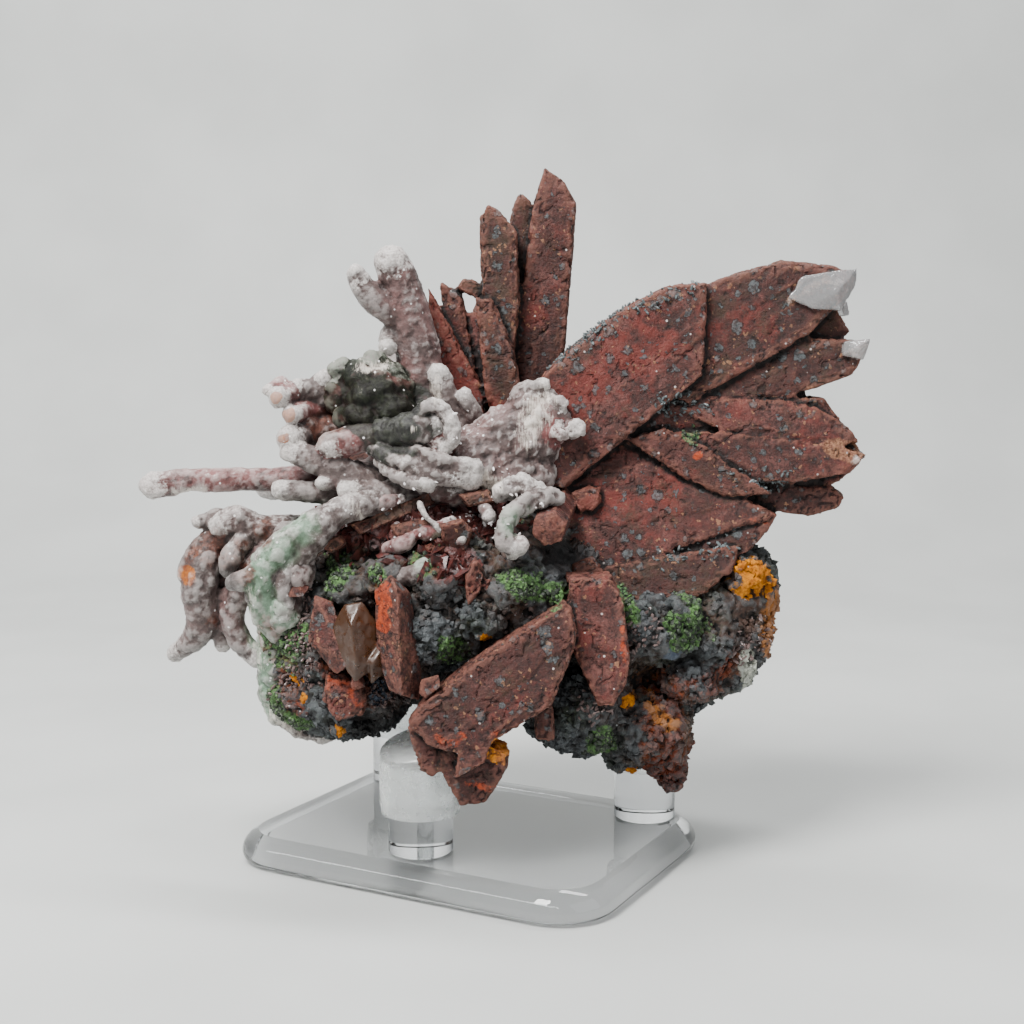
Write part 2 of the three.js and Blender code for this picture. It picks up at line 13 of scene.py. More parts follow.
import bmesh
import bpy
import numpy as np
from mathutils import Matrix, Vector


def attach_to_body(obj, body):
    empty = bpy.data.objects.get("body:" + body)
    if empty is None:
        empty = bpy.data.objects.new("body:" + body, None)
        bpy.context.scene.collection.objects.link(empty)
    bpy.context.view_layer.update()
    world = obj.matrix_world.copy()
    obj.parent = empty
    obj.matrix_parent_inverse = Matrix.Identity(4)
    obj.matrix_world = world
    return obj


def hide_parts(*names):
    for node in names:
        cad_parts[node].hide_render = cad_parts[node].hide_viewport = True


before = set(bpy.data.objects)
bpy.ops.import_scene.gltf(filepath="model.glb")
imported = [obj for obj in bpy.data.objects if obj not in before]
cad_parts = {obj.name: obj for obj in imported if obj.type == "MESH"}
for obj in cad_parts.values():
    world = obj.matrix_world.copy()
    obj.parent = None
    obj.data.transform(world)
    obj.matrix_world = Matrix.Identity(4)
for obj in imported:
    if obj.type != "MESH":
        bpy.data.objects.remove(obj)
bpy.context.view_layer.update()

log = logging.getLogger("quartz_cluster")
MM = 0.001
SEED = 7
WAVES = 9
Point = Colour = tuple[float, float, float]
Thing = bpy.types.Object
Mesh = bpy.types.Mesh
Material = bpy.types.Material
Body = bmesh.types.BMesh


# ---- node trees


def sum_of(operation: str, swapped: bool = False) -> Callable[["Value", object], "Value"]:
    """One of the sums that a Value can be used in.

    Args:
        operation: the Math node's operation.
        swapped: whether the other side of the sum comes first.

    Returns:
        The method.
    """

    def method(self: "Value", other: object) -> "Value":
        """Adds the Math node."""
        sides = (other, self) if swapped else (self, other)
        return self.tree.node("ShaderNodeMath", {"operation": operation}, dict(enumerate(sides)))

    return method


class Value:
    """A node socket that can be used in Python sums, each of which adds a Math node."""

    __add__ = __radd__ = sum_of("ADD")
    __sub__ = sum_of("SUBTRACT")
    __rsub__ = sum_of("SUBTRACT", True)
    __mul__ = __rmul__ = sum_of("MULTIPLY")
    __truediv__ = sum_of("DIVIDE")
    __rtruediv__ = sum_of("DIVIDE", True)
    most = sum_of("MAXIMUM")

    def __init__(self, tree: "Tree", socket: bpy.types.NodeSocket) -> None:
        """Keeps the tree and one of its output sockets."""
        self.tree = tree
        self.socket = socket

    def size_of(self) -> "Value":
        """Drops the sign."""
        return self.tree.node("ShaderNodeMath", {"operation": "ABSOLUTE"}, {0: self})

    def step(self, low: float, high: float) -> "Value":
        """Rises smoothly from 0 at low to 1 at high.

        Args:
            low: where it leaves 0.
            high: where it reaches 1; below low, it falls instead.

        Returns:
            The stepped value.
        """
        ends = (low, high, 0.0, 1.0) if low < high else (high, low, 1.0, 0.0)
        names = ("From Min", "From Max", "To Min", "To Max")
        inputs = {"Value": self} | dict(zip(names, ends))
        return self.tree.node("ShaderNodeMapRange", {"interpolation_type": "SMOOTHSTEP"}, inputs)


class Tree:
    """A shader or geometry node tree, with one method that adds any node."""

    def __init__(self, tree: bpy.types.NodeTree) -> None:
        """Clears the tree that is to be filled."""
        self.tree = tree
        tree.nodes.clear()

    def add(self, kind: str, settings: dict | None = None, inputs: dict | None = None) -> bpy.types.Node:
        """Adds a node.

        Args:
            kind: the node's type.
            settings: its properties, set before its sockets.
            inputs: values or links by socket name or number.

        Returns:
            The node.
        """
        node = self.tree.nodes.new(kind)
        for name, value in (settings or {}).items():
            setattr(node, name, value)
        for name, value in (inputs or {}).items():
            enabled = [s for s in node.inputs if s.enabled]
            socket = enabled[name] if isinstance(name, int) else next(s for s in enabled if s.name == name)
            self.feed(socket, value)
        return node

    def feed(self, socket: bpy.types.NodeSocket, value: object) -> None:
        """Links or sets one input.

        Args:
            socket: the input.
            value: a Value, a socket, a number, a colour or a datablock.
        """
        if isinstance(value, Value):
            value = value.socket
        if isinstance(value, bpy.types.NodeSocket):
            self.tree.links.new(value, socket)
        elif socket.type == "RGBA" and len(value) == 3:
            socket.default_value = (*value, 1.0)
        else:
            socket.default_value = value

    def node(self, kind: str, settings: dict | None = None, inputs: dict | None = None, out: object = 0) -> Value:
        """Adds a node and gives one of its outputs.

        Args:
            kind: the node's type.
            settings: its properties.
            inputs: values or links by socket name or number.
            out: the output's name or its number among those in use.

        Returns:
            The output.
        """
        made = self.add(kind, settings, inputs)
        outputs = [s for s in made.outputs if s.enabled]
        found = outputs[out] if isinstance(out, int) else next(s for s in outputs if s.name == out)
        return Value(self, found)

    def mix(self, factor: object, low: object, high: object) -> Value:
        """Blends two colours, by a factor from 0 to 1."""
        return self.node("ShaderNodeMix", {"data_type": "RGBA"}, {"Factor": factor, "A": low, "B": high}, "Result")

    def noise(self, where: Value, size: float, detail: float = 3.0, rough: float = 0.55, seed: float = 0.0) -> Value:
        """Adds fractal noise from 0 to 1.

        Args:
            where: the position that it reads.
            size: the size of its largest features, in metres.
            detail: the number of finer layers.
            rough: how strong the finer layers are.
            seed: shifts the pattern.

        Returns:
            The noise.
        """
        settings = {"noise_dimensions": "4D"}
        inputs = {"Vector": where, "W": seed, "Scale": 1.0 / size, "Detail": detail, "Roughness": rough}
        return self.node("ShaderNodeTexNoise", settings, inputs)

    def cells(self, where: Value, scale: object, out: str = "Distance") -> Value:
        """Adds a Voronoi pattern of cells, scale of them to a unit, and gives one of its outputs."""
        return self.node("ShaderNodeTexVoronoi", {"feature": "F1"}, {"Vector": where, "Scale": scale}, out)

    def vector(self, operation: str, inputs: dict) -> Value:
        """Adds a Vector Math node."""
        return self.node("ShaderNodeVectorMath", {"operation": operation}, inputs)

    def named(self, name: object, kind: str = "FLOAT") -> Value:
        """Reads an attribute, in a geometry tree."""
        return self.node("GeometryNodeInputNamedAttribute", {"data_type": kind}, {"Name": name})

    def mark(self, name: "str | Stain") -> Value:
        """Reads an attribute, or a stain's cover, in a material's tree."""
        return self.node("ShaderNodeAttribute", {"attribute_name": getattr(name, "value", name)}, {}, "Fac")

    def warped(self, where: Value, size: float, amount: float) -> Value:
        """Shifts a position by noise, so that what reads it gets ragged edges.

        Args:
            where: the position.
            size: the size of the noise, in metres.
            amount: the largest shift, in metres.

        Returns:
            The shifted position.
        """
        inputs = {"Vector": where, "Scale": 1.0 / size, "Detail": 2.0}
        wander = self.node("ShaderNodeTexNoise", {}, inputs, "Color")
        centred = self.vector("SUBTRACT", {0: wander, 1: (0.5, 0.5, 0.5)})
        scaled = self.vector("SCALE", {0: centred, "Scale": 2.0 * amount})
        return self.vector("ADD", {0: where, 1: scaled})


# ---- meshes


def object_of(name: str, mesh: Mesh) -> Thing:
    """Puts a mesh into the scene.

    Args:
        name: the object's name.
        mesh: its mesh.

    Returns:
        The object, at the origin.
    """
    made = bpy.data.objects.new(name, mesh)
    bpy.context.scene.collection.objects.link(made)
    return made


def baked(thing: Thing) -> Thing:
    """Replaces an object's mesh by the result of its modifiers, and drops them.

    Args:
        thing: the object.

    Returns:
        The same object.
    """
    evaluated = thing.evaluated_get(bpy.context.evaluated_depsgraph_get())
    mesh = bpy.data.meshes.new_from_object(evaluated)
    thing.modifiers.clear()
    thing.data = mesh
    return thing


def mesh_of(name: str, parts: Sequence[Body]) -> Thing:
    """Joins closed shapes into one object.

    Args:
        name: the object's name.
        parts: the shapes, which are used up.

    Returns:
        The object.
    """
    whole = bmesh.new()
    for part in parts:
        scratch = bpy.data.meshes.new("scratch")
        part.to_mesh(scratch)
        part.free()
        whole.from_mesh(scratch)
        bpy.data.meshes.remove(scratch)
    mesh = bpy.data.meshes.new(name)
    whole.to_mesh(mesh)
    whole.free()
    return object_of(name, mesh)


def fused(thing: Thing, voxel: float) -> Thing:
    """Joins an object's overlapping shapes into one even skin.

    Args:
        thing: the object.
        voxel: the skin's mesh size, in millimetres.

    Returns:
        The same object.
    """
    skin = thing.modifiers.new("skin", "REMESH")
    skin.mode = "VOXEL"
    skin.voxel_size = voxel * MM
    skin.use_smooth_shade = True
    return baked(thing)


def coordinates(mesh: Mesh) -> np.ndarray:
    """The mesh's vertices, in millimetres, one row each."""
    flat = np.empty(3 * len(mesh.vertices), np.float32)
    mesh.vertices.foreach_get("co", flat)
    return flat.reshape(-1, 3) / MM


def paint(mesh: Mesh, name: str, values: np.ndarray) -> None:
    """Stores one number for each vertex, as the attribute of that name."""
    layer = mesh.attributes.get(name) or mesh.attributes.new(name, "FLOAT", "POINT")
    layer.data.foreach_set("value", values.astype(np.float32))


def cavity(mesh: Mesh, rounds: int) -> np.ndarray:
    """How far each vertex lies below the surface around it: above 0 in clefts and below 0 on ridges.

    Args:
        mesh: the mesh.
        rounds: how often the surface is smoothed first, which sets how wide an area counts.

    Returns:
        One depth for each vertex, in millimetres.
    """
    mesh.update()
    ends = np.empty(2 * len(mesh.edges), np.int32)
    mesh.edges.foreach_get("vertices", ends)
    first, second = ends[::2], ends[1::2]
    places = coordinates(mesh).astype(float)
    count = np.bincount(ends, minlength=len(places)).clip(1)[:, None]
    smooth = places
    for _ in range(rounds):
        total = np.column_stack([np.bincount(first, smooth[second, k], len(places))
                                 + np.bincount(second, smooth[first, k], len(places)) for k in range(3)])
        smooth = total / count
    normals = np.empty(3 * len(places), np.float32)
    mesh.vertex_normals.foreach_get("vector", normals)
    return ((smooth - places) * normals.reshape(-1, 3)).sum(axis=1)


def ripple(places: np.ndarray, size: float, seed: int = 0) -> np.ndarray:
    """Smooth waves from -1 to 1 that run in several directions at once.

    Args:
        places: where, in millimetres.
        size: about how far apart the waves are, in millimetres.
        seed: tells one pattern from another.

    Returns:
        One number for each place.
    """
    chance = np.random.default_rng(SEED + seed)
    ways = chance.normal(size=(WAVES, 3)) / size
    return np.sin(places @ ways.T + chance.uniform(0, 6.28, WAVES)).sum(axis=1) / 4.0


@dataclass(frozen=True)
class Solid:
    """A closed convex body, kept as corners and as the planes of its faces."""

    corners: np.ndarray
    axis: np.ndarray
    tone: float

    def shape(self) -> Body:
        """The body's convex hull, in metres."""
        hull = bmesh.new()
        for corner in self.corners:
            hull.verts.new(Vector(corner) * MM)
        result = bmesh.ops.convex_hull(hull, input=hull.verts)
        loose = [g for g in result["geom_interior"] + result["geom_unused"] if isinstance(g, bmesh.types.BMVert)]
        bmesh.ops.delete(hull, geom=list(set(loose)), context="VERTS")
        bmesh.ops.recalc_face_normals(hull, faces=hull.faces)
        return hull

    def planes(self) -> np.ndarray:
        """One row for each face: its outward normal and its distance from the origin, in millimetres."""
        hull = self.shape()
        rows = [(*f.normal, f.normal.dot(f.verts[0].co) / MM) for f in hull.faces]
        hull.free()
        return np.unique(np.round(np.array(rows), 3), axis=0)

    def distances(self, places: np.ndarray) -> tuple[np.ndarray, np.ndarray]:
        """How far places lie outside the body, and outside its second nearest face.

        Args:
            places: the places, in millimetres.

        Returns:
            The largest and the second largest distance over the faces' planes.
        """
        planes = self.planes()
        all_distances = places @ planes[:, :3].T - planes[:, 3]
        ordered = np.partition(all_distances, -2, axis=1)
        return ordered[:, -1], ordered[:, -2]


@dataclass(frozen=True)
class Slab:
    """A broad blade or broken prism seen from the display side."""

    outline: tuple[tuple[float, float], ...]
    front: float
    depth: float
    lean: tuple[float, float] = (0.0, 0.0)
    tone: float = 0.0
    bevel: float = 0.5
    shoulder: float = 0.35

    def solid(self) -> Solid:
        """The slab as a closed body: its outline at mid depth, with smaller front and back faces."""
        ring = np.array(self.outline, float)
        middle = ring.mean(axis=0)
        out = ring - middle
        reach = np.linalg.norm(out, axis=1, keepdims=True)
        inset = out * np.maximum(reach - self.bevel, 0.2) / reach
        corners = []
        for offset, back in ((inset, 0.0), (out, self.shoulder * self.depth), (inset, self.depth)):
            y = self.front + back + offset @ np.array(self.lean)
            corners.append(np.column_stack([middle[0] + offset[:, 0], y, middle[1] + offset[:, 1]]))
        spread = np.linalg.svd(out - out.mean(axis=0), full_matrices=False)[2][0]
        return Solid(np.concatenate(corners), np.array([spread[0], 0.0, spread[1]]), self.tone)


@dataclass(frozen=True)
class Prism:
    """A six-sided crystal from its root to its point, which leans a little and whose faces start unevenly."""

    root: Point
    tip: Point
    width: float
    depth: float
    point: float
    tone: float = 0.0
    lean: float = 0.12
    uneven: float = 0.18

    def solid(self) -> Solid:
        """The prism as a closed body, with a pyramid at its end."""
        start = Vector(self.root)
        axis = Vector(self.tip) - start
        length = axis.length
        axis.normalize()
        side = axis.cross(Vector((0, -1, 0))).normalized()
        face = side.cross(axis)
        corners = []
        for k in range(6):
            angle = k * math.pi / 3
            across = side * (0.5 * self.width * math.cos(angle)) + face * (0.5 * self.depth * math.sin(angle))
            wander = math.sin(127.1 * k + 311.7 * self.root[0] + 74.7 * self.tip[2])
            shoulder = length - self.point * (1 + self.uneven * wander)
            corners += [start + across, start + across + axis * shoulder]
        corners.append(start + axis * length + side * self.lean * self.width)
        return Solid(np.array([tuple(c) for c in corners]), np.array(tuple(axis)), self.tone)


@dataclass(frozen=True)
class Block:
    """A broken crystal given by its corners."""

    corners: tuple[Point, ...]
    tone: float = 0.0

    def solid(self) -> Solid:
        """The block as a closed body."""
        points = np.array(self.corners, float)
        spread = np.linalg.svd(points - points.mean(axis=0), full_matrices=False)[2][0]
        return Solid(points, spread, self.tone)


@dataclass(frozen=True)
class Finger:
    """A round-ended finger of silica along a smooth curve, from its root to its end, with bumps on its side."""

    stations: tuple[tuple[float, float, float, float], ...]
    rosy: float = 0.3
    pale: float = 0.3
    bumps: float = 0.5
    bump_sizes: tuple[float, float] = (0.3, 0.55)
    bump_sunk: float = 0.7

    def beads(self, pitch: float) -> list[tuple[np.ndarray, float, float]]:
        """Overlapping balls along the finger, and small ones part sunk in its side.

        Args:
            pitch: the distance between balls, as a share of their radius.

        Returns:
            The balls' middles and radii, in millimetres, and how far along the finger they are, from 0 to 1.
        """
        points = np.array(self.stations, float)
        padded = np.vstack([2 * points[0] - points[1], points, 2 * points[-1] - points[-2]])
        chance = np.random.default_rng(int(abs(points.sum()) * 100) + SEED)
        found = []
        spans = len(points) - 1
        for k in range(spans):
            a, b, c, d = padded[k : k + 4]
            steps = max(2, int(np.linalg.norm((c - b)[:3]) / (pitch * max(b[3], 1.0))))
            for t in np.linspace(0, 1, steps, endpoint=False):
                bend = 2 * b + (c - a) * t + (2 * a - 5 * b + 4 * c - d) * t * t + (3 * b - a - 3 * c + d) * t**3
                middle, radius = 0.5 * bend[:3], 0.5 * bend[3]
                found.append((middle, radius, (k + t) / spans))
                if chance.random() < self.bumps:
                    out = chance.normal(size=3)
                    out /= np.linalg.norm(out)
                    small = radius * chance.uniform(*self.bump_sizes)
                    found.append((middle + out * (radius - self.bump_sunk * small), small, (k + t) / spans))
        found.append((points[-1][:3], points[-1][3], 1.0))
        return found


@dataclass(frozen=True)
class Lump:
    """A rounded mass: its middle and its three radii."""

    at: Point
    radii: Point

    def shape(self, fineness: int = 3) -> Body:
        """The mass as a closed body.

        Args:
            fineness: how often its faces are divided.

        Returns:
            The body, in metres.
        """
        body = bmesh.new()
        bmesh.ops.create_icosphere(body, subdivisions=fineness, radius=1.0)
        for vertex in body.verts:
            place = Vector(self.at) + Vector([c * r for c, r in zip(vertex.co, self.radii)])
            vertex.co = place * MM
        return body


def lumps(*rows: tuple[float, ...]) -> tuple[Lump, ...]:
    """Rounded masses, from rows of a middle and three radii."""
    return tuple(Lump(row[:3], row[3:]) for row in rows)


def ball(radius: float, fineness: int) -> Body:
    """A ball about the origin, with its radius in millimetres."""
    return Lump((0.0, 0.0, 0.0), (radius, radius, radius)).shape(fineness)


# ---- geometry nodes


def geometry_tree(name: str, inputs: Sequence[tuple[str, str, object]]) -> tuple[Tree, dict[str, Value]]:
    """Starts a Geometry Nodes tree.

    Args:
        name: its name.
        inputs: each input's name, the kind of its socket, and its usual value or None.

    Returns:
        The tree, and its inputs by name.
    """
    group = bpy.data.node_groups.new(name, "GeometryNodeTree")
    for label, kind, value in (("Geometry", "Geometry", None), *inputs, ("Material", "Material", None)):
        socket = group.interface.new_socket(label, in_out="INPUT", socket_type="NodeSocket" + kind)
        if value is not None:
            socket.default_value = value
    group.interface.new_socket("Geometry", in_out="OUTPUT", socket_type="NodeSocketGeometry")
    tree = Tree(group)
    given = tree.add("NodeGroupInput")
    return tree, {s.name: Value(tree, s) for s in given.outputs if s.name}


class SkinTree:
    """Geometry Nodes that roughen a skin: swells, crags, broken blocks, knobs, grain, cracks, steps and chips."""

    SIZES: tuple[tuple[str, float], ...] = (
        ("Swell", 0.0), ("Swell Size", 9.0), ("Crag", 0.0), ("Crag Size", 5.0), ("Block", 0.0),
        ("Block Size", 3.2), ("Knob", 0.0), ("Knob Size", 2.0), ("Grain", 0.1), ("Grain Size", 0.9),
        ("Crack", 0.0), ("Crack Size", 7.0), ("Crack Width", 0.03), ("Step", 0.0), ("Step Size", 2.2),
        ("Chip", 0.0), ("Chip Size", 2.0), ("Cleft", 0.0), ("Seed", 0.0),
    )
    FINER = 2.2
    NEAR_ROUNDS = 4
    WIDE_ROUNDS = 30

    def __init__(self) -> None:
        """Builds the tree."""
        self.tree, self.size = geometry_tree("rough_skin", [(name, "Float", value) for name, value in self.SIZES])
        position = self.tree.node("GeometryNodeInputPosition")
        self.place = self.tree.vector("SCALE", {0: position, "Scale": 1.0 / MM})
        self.build()

    def layer(self, name: str, detail: float, rough: float, shift: float) -> Value:
        """Noise from -1 to 1, with features of the size that an input gives.

        Args:
            name: the layer, whose size input has the same name.
            detail: the number of finer layers.
            rough: how strong they are.
            shift: tells the layer's pattern from the others.

        Returns:
            The noise.
        """
        inputs = {"Vector": self.place, "W": self.size["Seed"] + shift, "Scale": 1.0 / self.size[name + " Size"],
                  "Detail": detail, "Roughness": rough}
        return self.tree.node("ShaderNodeTexNoise", {"noise_dimensions": "4D"}, inputs) * 2.0 - 1.0

    def terrace(self, where: Value, scale: Value) -> Value:
        """A height from -1 to 1 that is the same all over each cell of a pattern."""
        colour = self.tree.cells(where, scale, "Color")
        return self.tree.node("ShaderNodeSeparateXYZ", {}, {0: colour}, "X") * 2.0 - 1.0

    def build(self) -> None:
        """Adds the layers, and moves each vertex along its normal by their sum."""
        tree, size = self.tree, self.size
        wander = tree.node("ShaderNodeTexNoise", {}, {"Vector": self.place, "Scale": 0.5, "Detail": 3.0}, "Color")
        shifted = tree.vector("MULTIPLY_ADD", {0: wander, 1: (2.4, 2.4, 2.4), 2: self.place})
        crag = 1.0 - self.layer("Crag", 4.0, 0.6, 3.0).size_of() * 3.0
        fine = self.FINER / size["Block Size"]
        block = self.terrace(shifted, 1.0 / size["Block Size"]) + self.terrace(shifted, fine) * 0.45
        cells = tree.node("ShaderNodeTexVoronoi", {"feature": "SMOOTH_F1"},
                          {"Vector": shifted, "Scale": 1.0 / size["Knob Size"], "Smoothness": 0.5})
        knob = (0.5 - cells) * 2.0
        grain = self.layer("Grain", 4.0, 0.65, 5.0)
        line = self.layer("Crack", 3.0, 0.6, 8.0).size_of() / size["Crack Width"]
        crack = 1.0 - line.step(0.3, 1.0)
        stepped = self.terrace(tree.named("grain", "FLOAT_VECTOR"), 1.0 / size["Step Size"])
        chipped = (1.0 - tree.named("edge").step(0.2, 1.6)) * self.layer("Chip", 3.0, 0.6, 12.0).step(-0.1, 0.25)
        height = (self.layer("Swell", 2.0, 0.5, 0.0) * size["Swell"] + crag * size["Crag"]
                  + block * size["Block"] + knob * size["Knob"] + grain * size["Grain"]
                  + stepped * size["Step"] - crack * size["Crack"] - chipped * size["Chip"]
                  - tree.named("crevice") * size["Cleft"])
        # how sunk each place is, in cracks and lows; the finishes darken it as painted shade
        sunk = crack * 0.8 - (crag * size["Crag"] + knob * size["Knob"] + grain * size["Grain"] * 2.0) * 0.6

        geometry = tree.node("GeometryNodeStoreNamedAttribute", {"data_type": "FLOAT", "domain": "POINT"},
                             {"Geometry": size["Geometry"], "Name": "sunk", "Value": sunk})
        offset = tree.vector("SCALE", {0: tree.node("GeometryNodeInputNormal"), "Scale": height * MM})
        moved = tree.node("GeometryNodeSetPosition", {}, {"Geometry": geometry, "Offset": offset})
        dressed = tree.node("GeometryNodeSetMaterial", {}, {"Geometry": moved, "Material": size["Material"]})
        tree.add("NodeGroupOutput", {}, {"Geometry": dressed})

    def apply(self, thing: Thing, sizes: dict[str, float], material: Material) -> None:
        """Roughens an object and gives it its material.

        Args:
            thing: the object, whose mesh is replaced.
            sizes: the inputs that differ from their usual values, in millimetres.
            material: the finish.
        """
        modifier = thing.modifiers.new("rough", "NODES")
        modifier.node_group = self.tree.tree
        set_inputs(modifier, sizes | {"Material": material})
        if "edge" not in thing.data.attributes:
            paint(thing.data, "edge", np.zeros(len(thing.data.vertices)))
        baked(thing)
        shade_smooth(thing.data)
        # cavity, above 0 in hollows and below 0 on ridges: the finishes darken hollows as painted shade and lighten
        # ridges as painted light
        depth = cavity(thing.data, self.NEAR_ROUNDS) * 2.0 + cavity(thing.data, self.WIDE_ROUNDS)
        paint(thing.data, "cavity", depth)


def set_inputs(modifier: bpy.types.Modifier, values: dict[str, object]) -> None:
    """Sets a Geometry Nodes modifier's inputs by their sockets' identifiers.

    Args:
        modifier: the modifier.
        values: the values, by the inputs' names.
    """
    for item in modifier.node_group.interface.items_tree:
        if item.item_type == "SOCKET" and item.in_out == "INPUT" and item.name in values:
            modifier[item.identifier] = values[item.name]


def shade_smooth(mesh: Mesh) -> None:
    """Smooths the shading of every face."""
    mesh.polygons.foreach_set("use_smooth", np.ones(len(mesh.polygons), bool))
    mesh.update()


def growth_tree() -> bpy.types.NodeTree:
    """Geometry Nodes that sow small closed shapes over a skin, thick where its mask attribute is high."""
    tree, size = geometry_tree("surface_growth", (
        ("Density", "Float", 1.0), ("Smallest", "Float", 0.5), ("Largest", "Float", 1.0), ("Tilt", "Float", 0.5),
        ("Seed", "Int", 0), ("Mask", "String", None), ("Shape", "Object", None),
    ))
    mask = tree.named(size["Mask"])
    spread = tree.add("GeometryNodeDistributePointsOnFaces", {"distribute_method": "RANDOM"},
                      {"Mesh": size["Geometry"], "Density": mask * size["Density"], "Seed": size["Seed"]})
    shape = tree.node("GeometryNodeObjectInfo", {}, {"Object": size["Shape"]}, "Geometry")
    scale = tree.node("FunctionNodeRandomValue", {"data_type": "FLOAT"},
                      {"Min": size["Smallest"], "Max": size["Largest"], "Seed": size["Seed"] + 1}, "Value")
    turned = tree.node("FunctionNodeRandomValue", {"data_type": "FLOAT_VECTOR"},
                       {"Min": (-1.0, -1.0, -math.pi), "Max": (1.0, 1.0, math.pi), "Seed": size["Seed"] + 2},
                       "Value")
    lean = tree.node("ShaderNodeCombineXYZ", {}, {"X": size["Tilt"], "Y": size["Tilt"], "Z": 1.0})
    turned = tree.vector("MULTIPLY", {0: turned, 1: lean})
    rotation = tree.node("FunctionNodeRotateRotation", {"rotation_space": "LOCAL"},
                         {"Rotation": Value(tree, spread.outputs["Rotation"]), "Rotate By": turned})
    copies = tree.node("GeometryNodeInstanceOnPoints", {},
                       {"Points": Value(tree, spread.outputs["Points"]), "Instance": shape,
                        "Rotation": rotation, "Scale": scale})
    solid = tree.node("GeometryNodeRealizeInstances", {}, {"Geometry": copies})
    dressed = tree.node("GeometryNodeSetMaterial", {}, {"Geometry": solid, "Material": size["Material"]})
    tree.add("NodeGroupOutput", {}, {"Geometry": dressed})
    return tree.tree


# ---- where colours lie


class Stain(Enum):
    """A colour that marks part of the specimen, and the name of its attribute."""

    GREEN = "green"
    OCHRE = "ochre"
    WHITE = "white"
    RUST = "rust"
    TAN = "tan"
    BLUE = "blue"
    # painted shade, where shadow falls
    DARK = "dark"
    GREY = "grey"
    RED = "red"
    SHARD = "shard"
    SPARK = "spark"
    DRUSE = "druse"
    CRUST = "crust"


STAINED_TO = 4.0


@dataclass(frozen=True)
class Patch:
    """A patch on the display side, of a stain, of painted shade or of a painted highlight: a band between two places
    in X and Z.
    """

    stain: Stain
    start: tuple[float, float]
    end: tuple[float, float]
    radius: float
    strength: float = 1.0

    def cover(self, places: np.ndarray, ragged: np.ndarray) -> np.ndarray:
        """How strongly the patch covers each place.

        Args:
            places: the places, in millimetres.
            ragged: what makes its rim uneven, for each place.

        Returns:
            From 0 at the rim and on the far side to the patch's strength in the middle.
        """
        start, run = np.array(self.start), np.array(self.end) - np.array(self.start)
        offset = places[:, [0, 2]] - start
        along = np.clip(offset @ run / max(float(run @ run), 1e-6), 0.0, 1.0)
        away = np.linalg.norm(offset - along[:, None] * run, axis=1) / self.radius
        found = np.clip(1.0 - away + ragged, 0.0, 1.0) * self.strength
        return np.where(places[:, 1] < STAINED_TO, found, 0.0)


def stain(mesh: Mesh, patches: Sequence[Patch]) -> None:
    """Stores each stain's cover as an attribute named after it.

    Args:
        mesh: the mesh.
        patches: the patches that may lie on it.
    """
    places = coordinates(mesh)
    ragged = 0.3 * ripple(places, 1.6) + 0.15 * ripple(places, 0.7, 1)
    for kind in Stain:
        cover = np.zeros(len(places))
        for patch in patches:
            if patch.stain is kind:
                cover = np.maximum(cover, patch.cover(places, ragged))
        paint(mesh, kind.value, cover)


def patches(tables: dict[Stain, Sequence[tuple[float, ...]]]) -> tuple[Patch, ...]:
    """Reads stained patches from tables.

    Args:
        tables: for each stain, rows of x, z, radius and perhaps strength, with a second x and z before the radius
            where the patch is a band.

    Returns:
        The patches.
    """
    found = []
    for kind, rows in tables.items():
        for row in rows:
            ends = row[:4] if len(row) > 4 else row[:2] * 2
            found.append(Patch(kind, ends[:2], ends[2:], *row[4 if len(row) > 4 else 2 :]))
    return tuple(found)


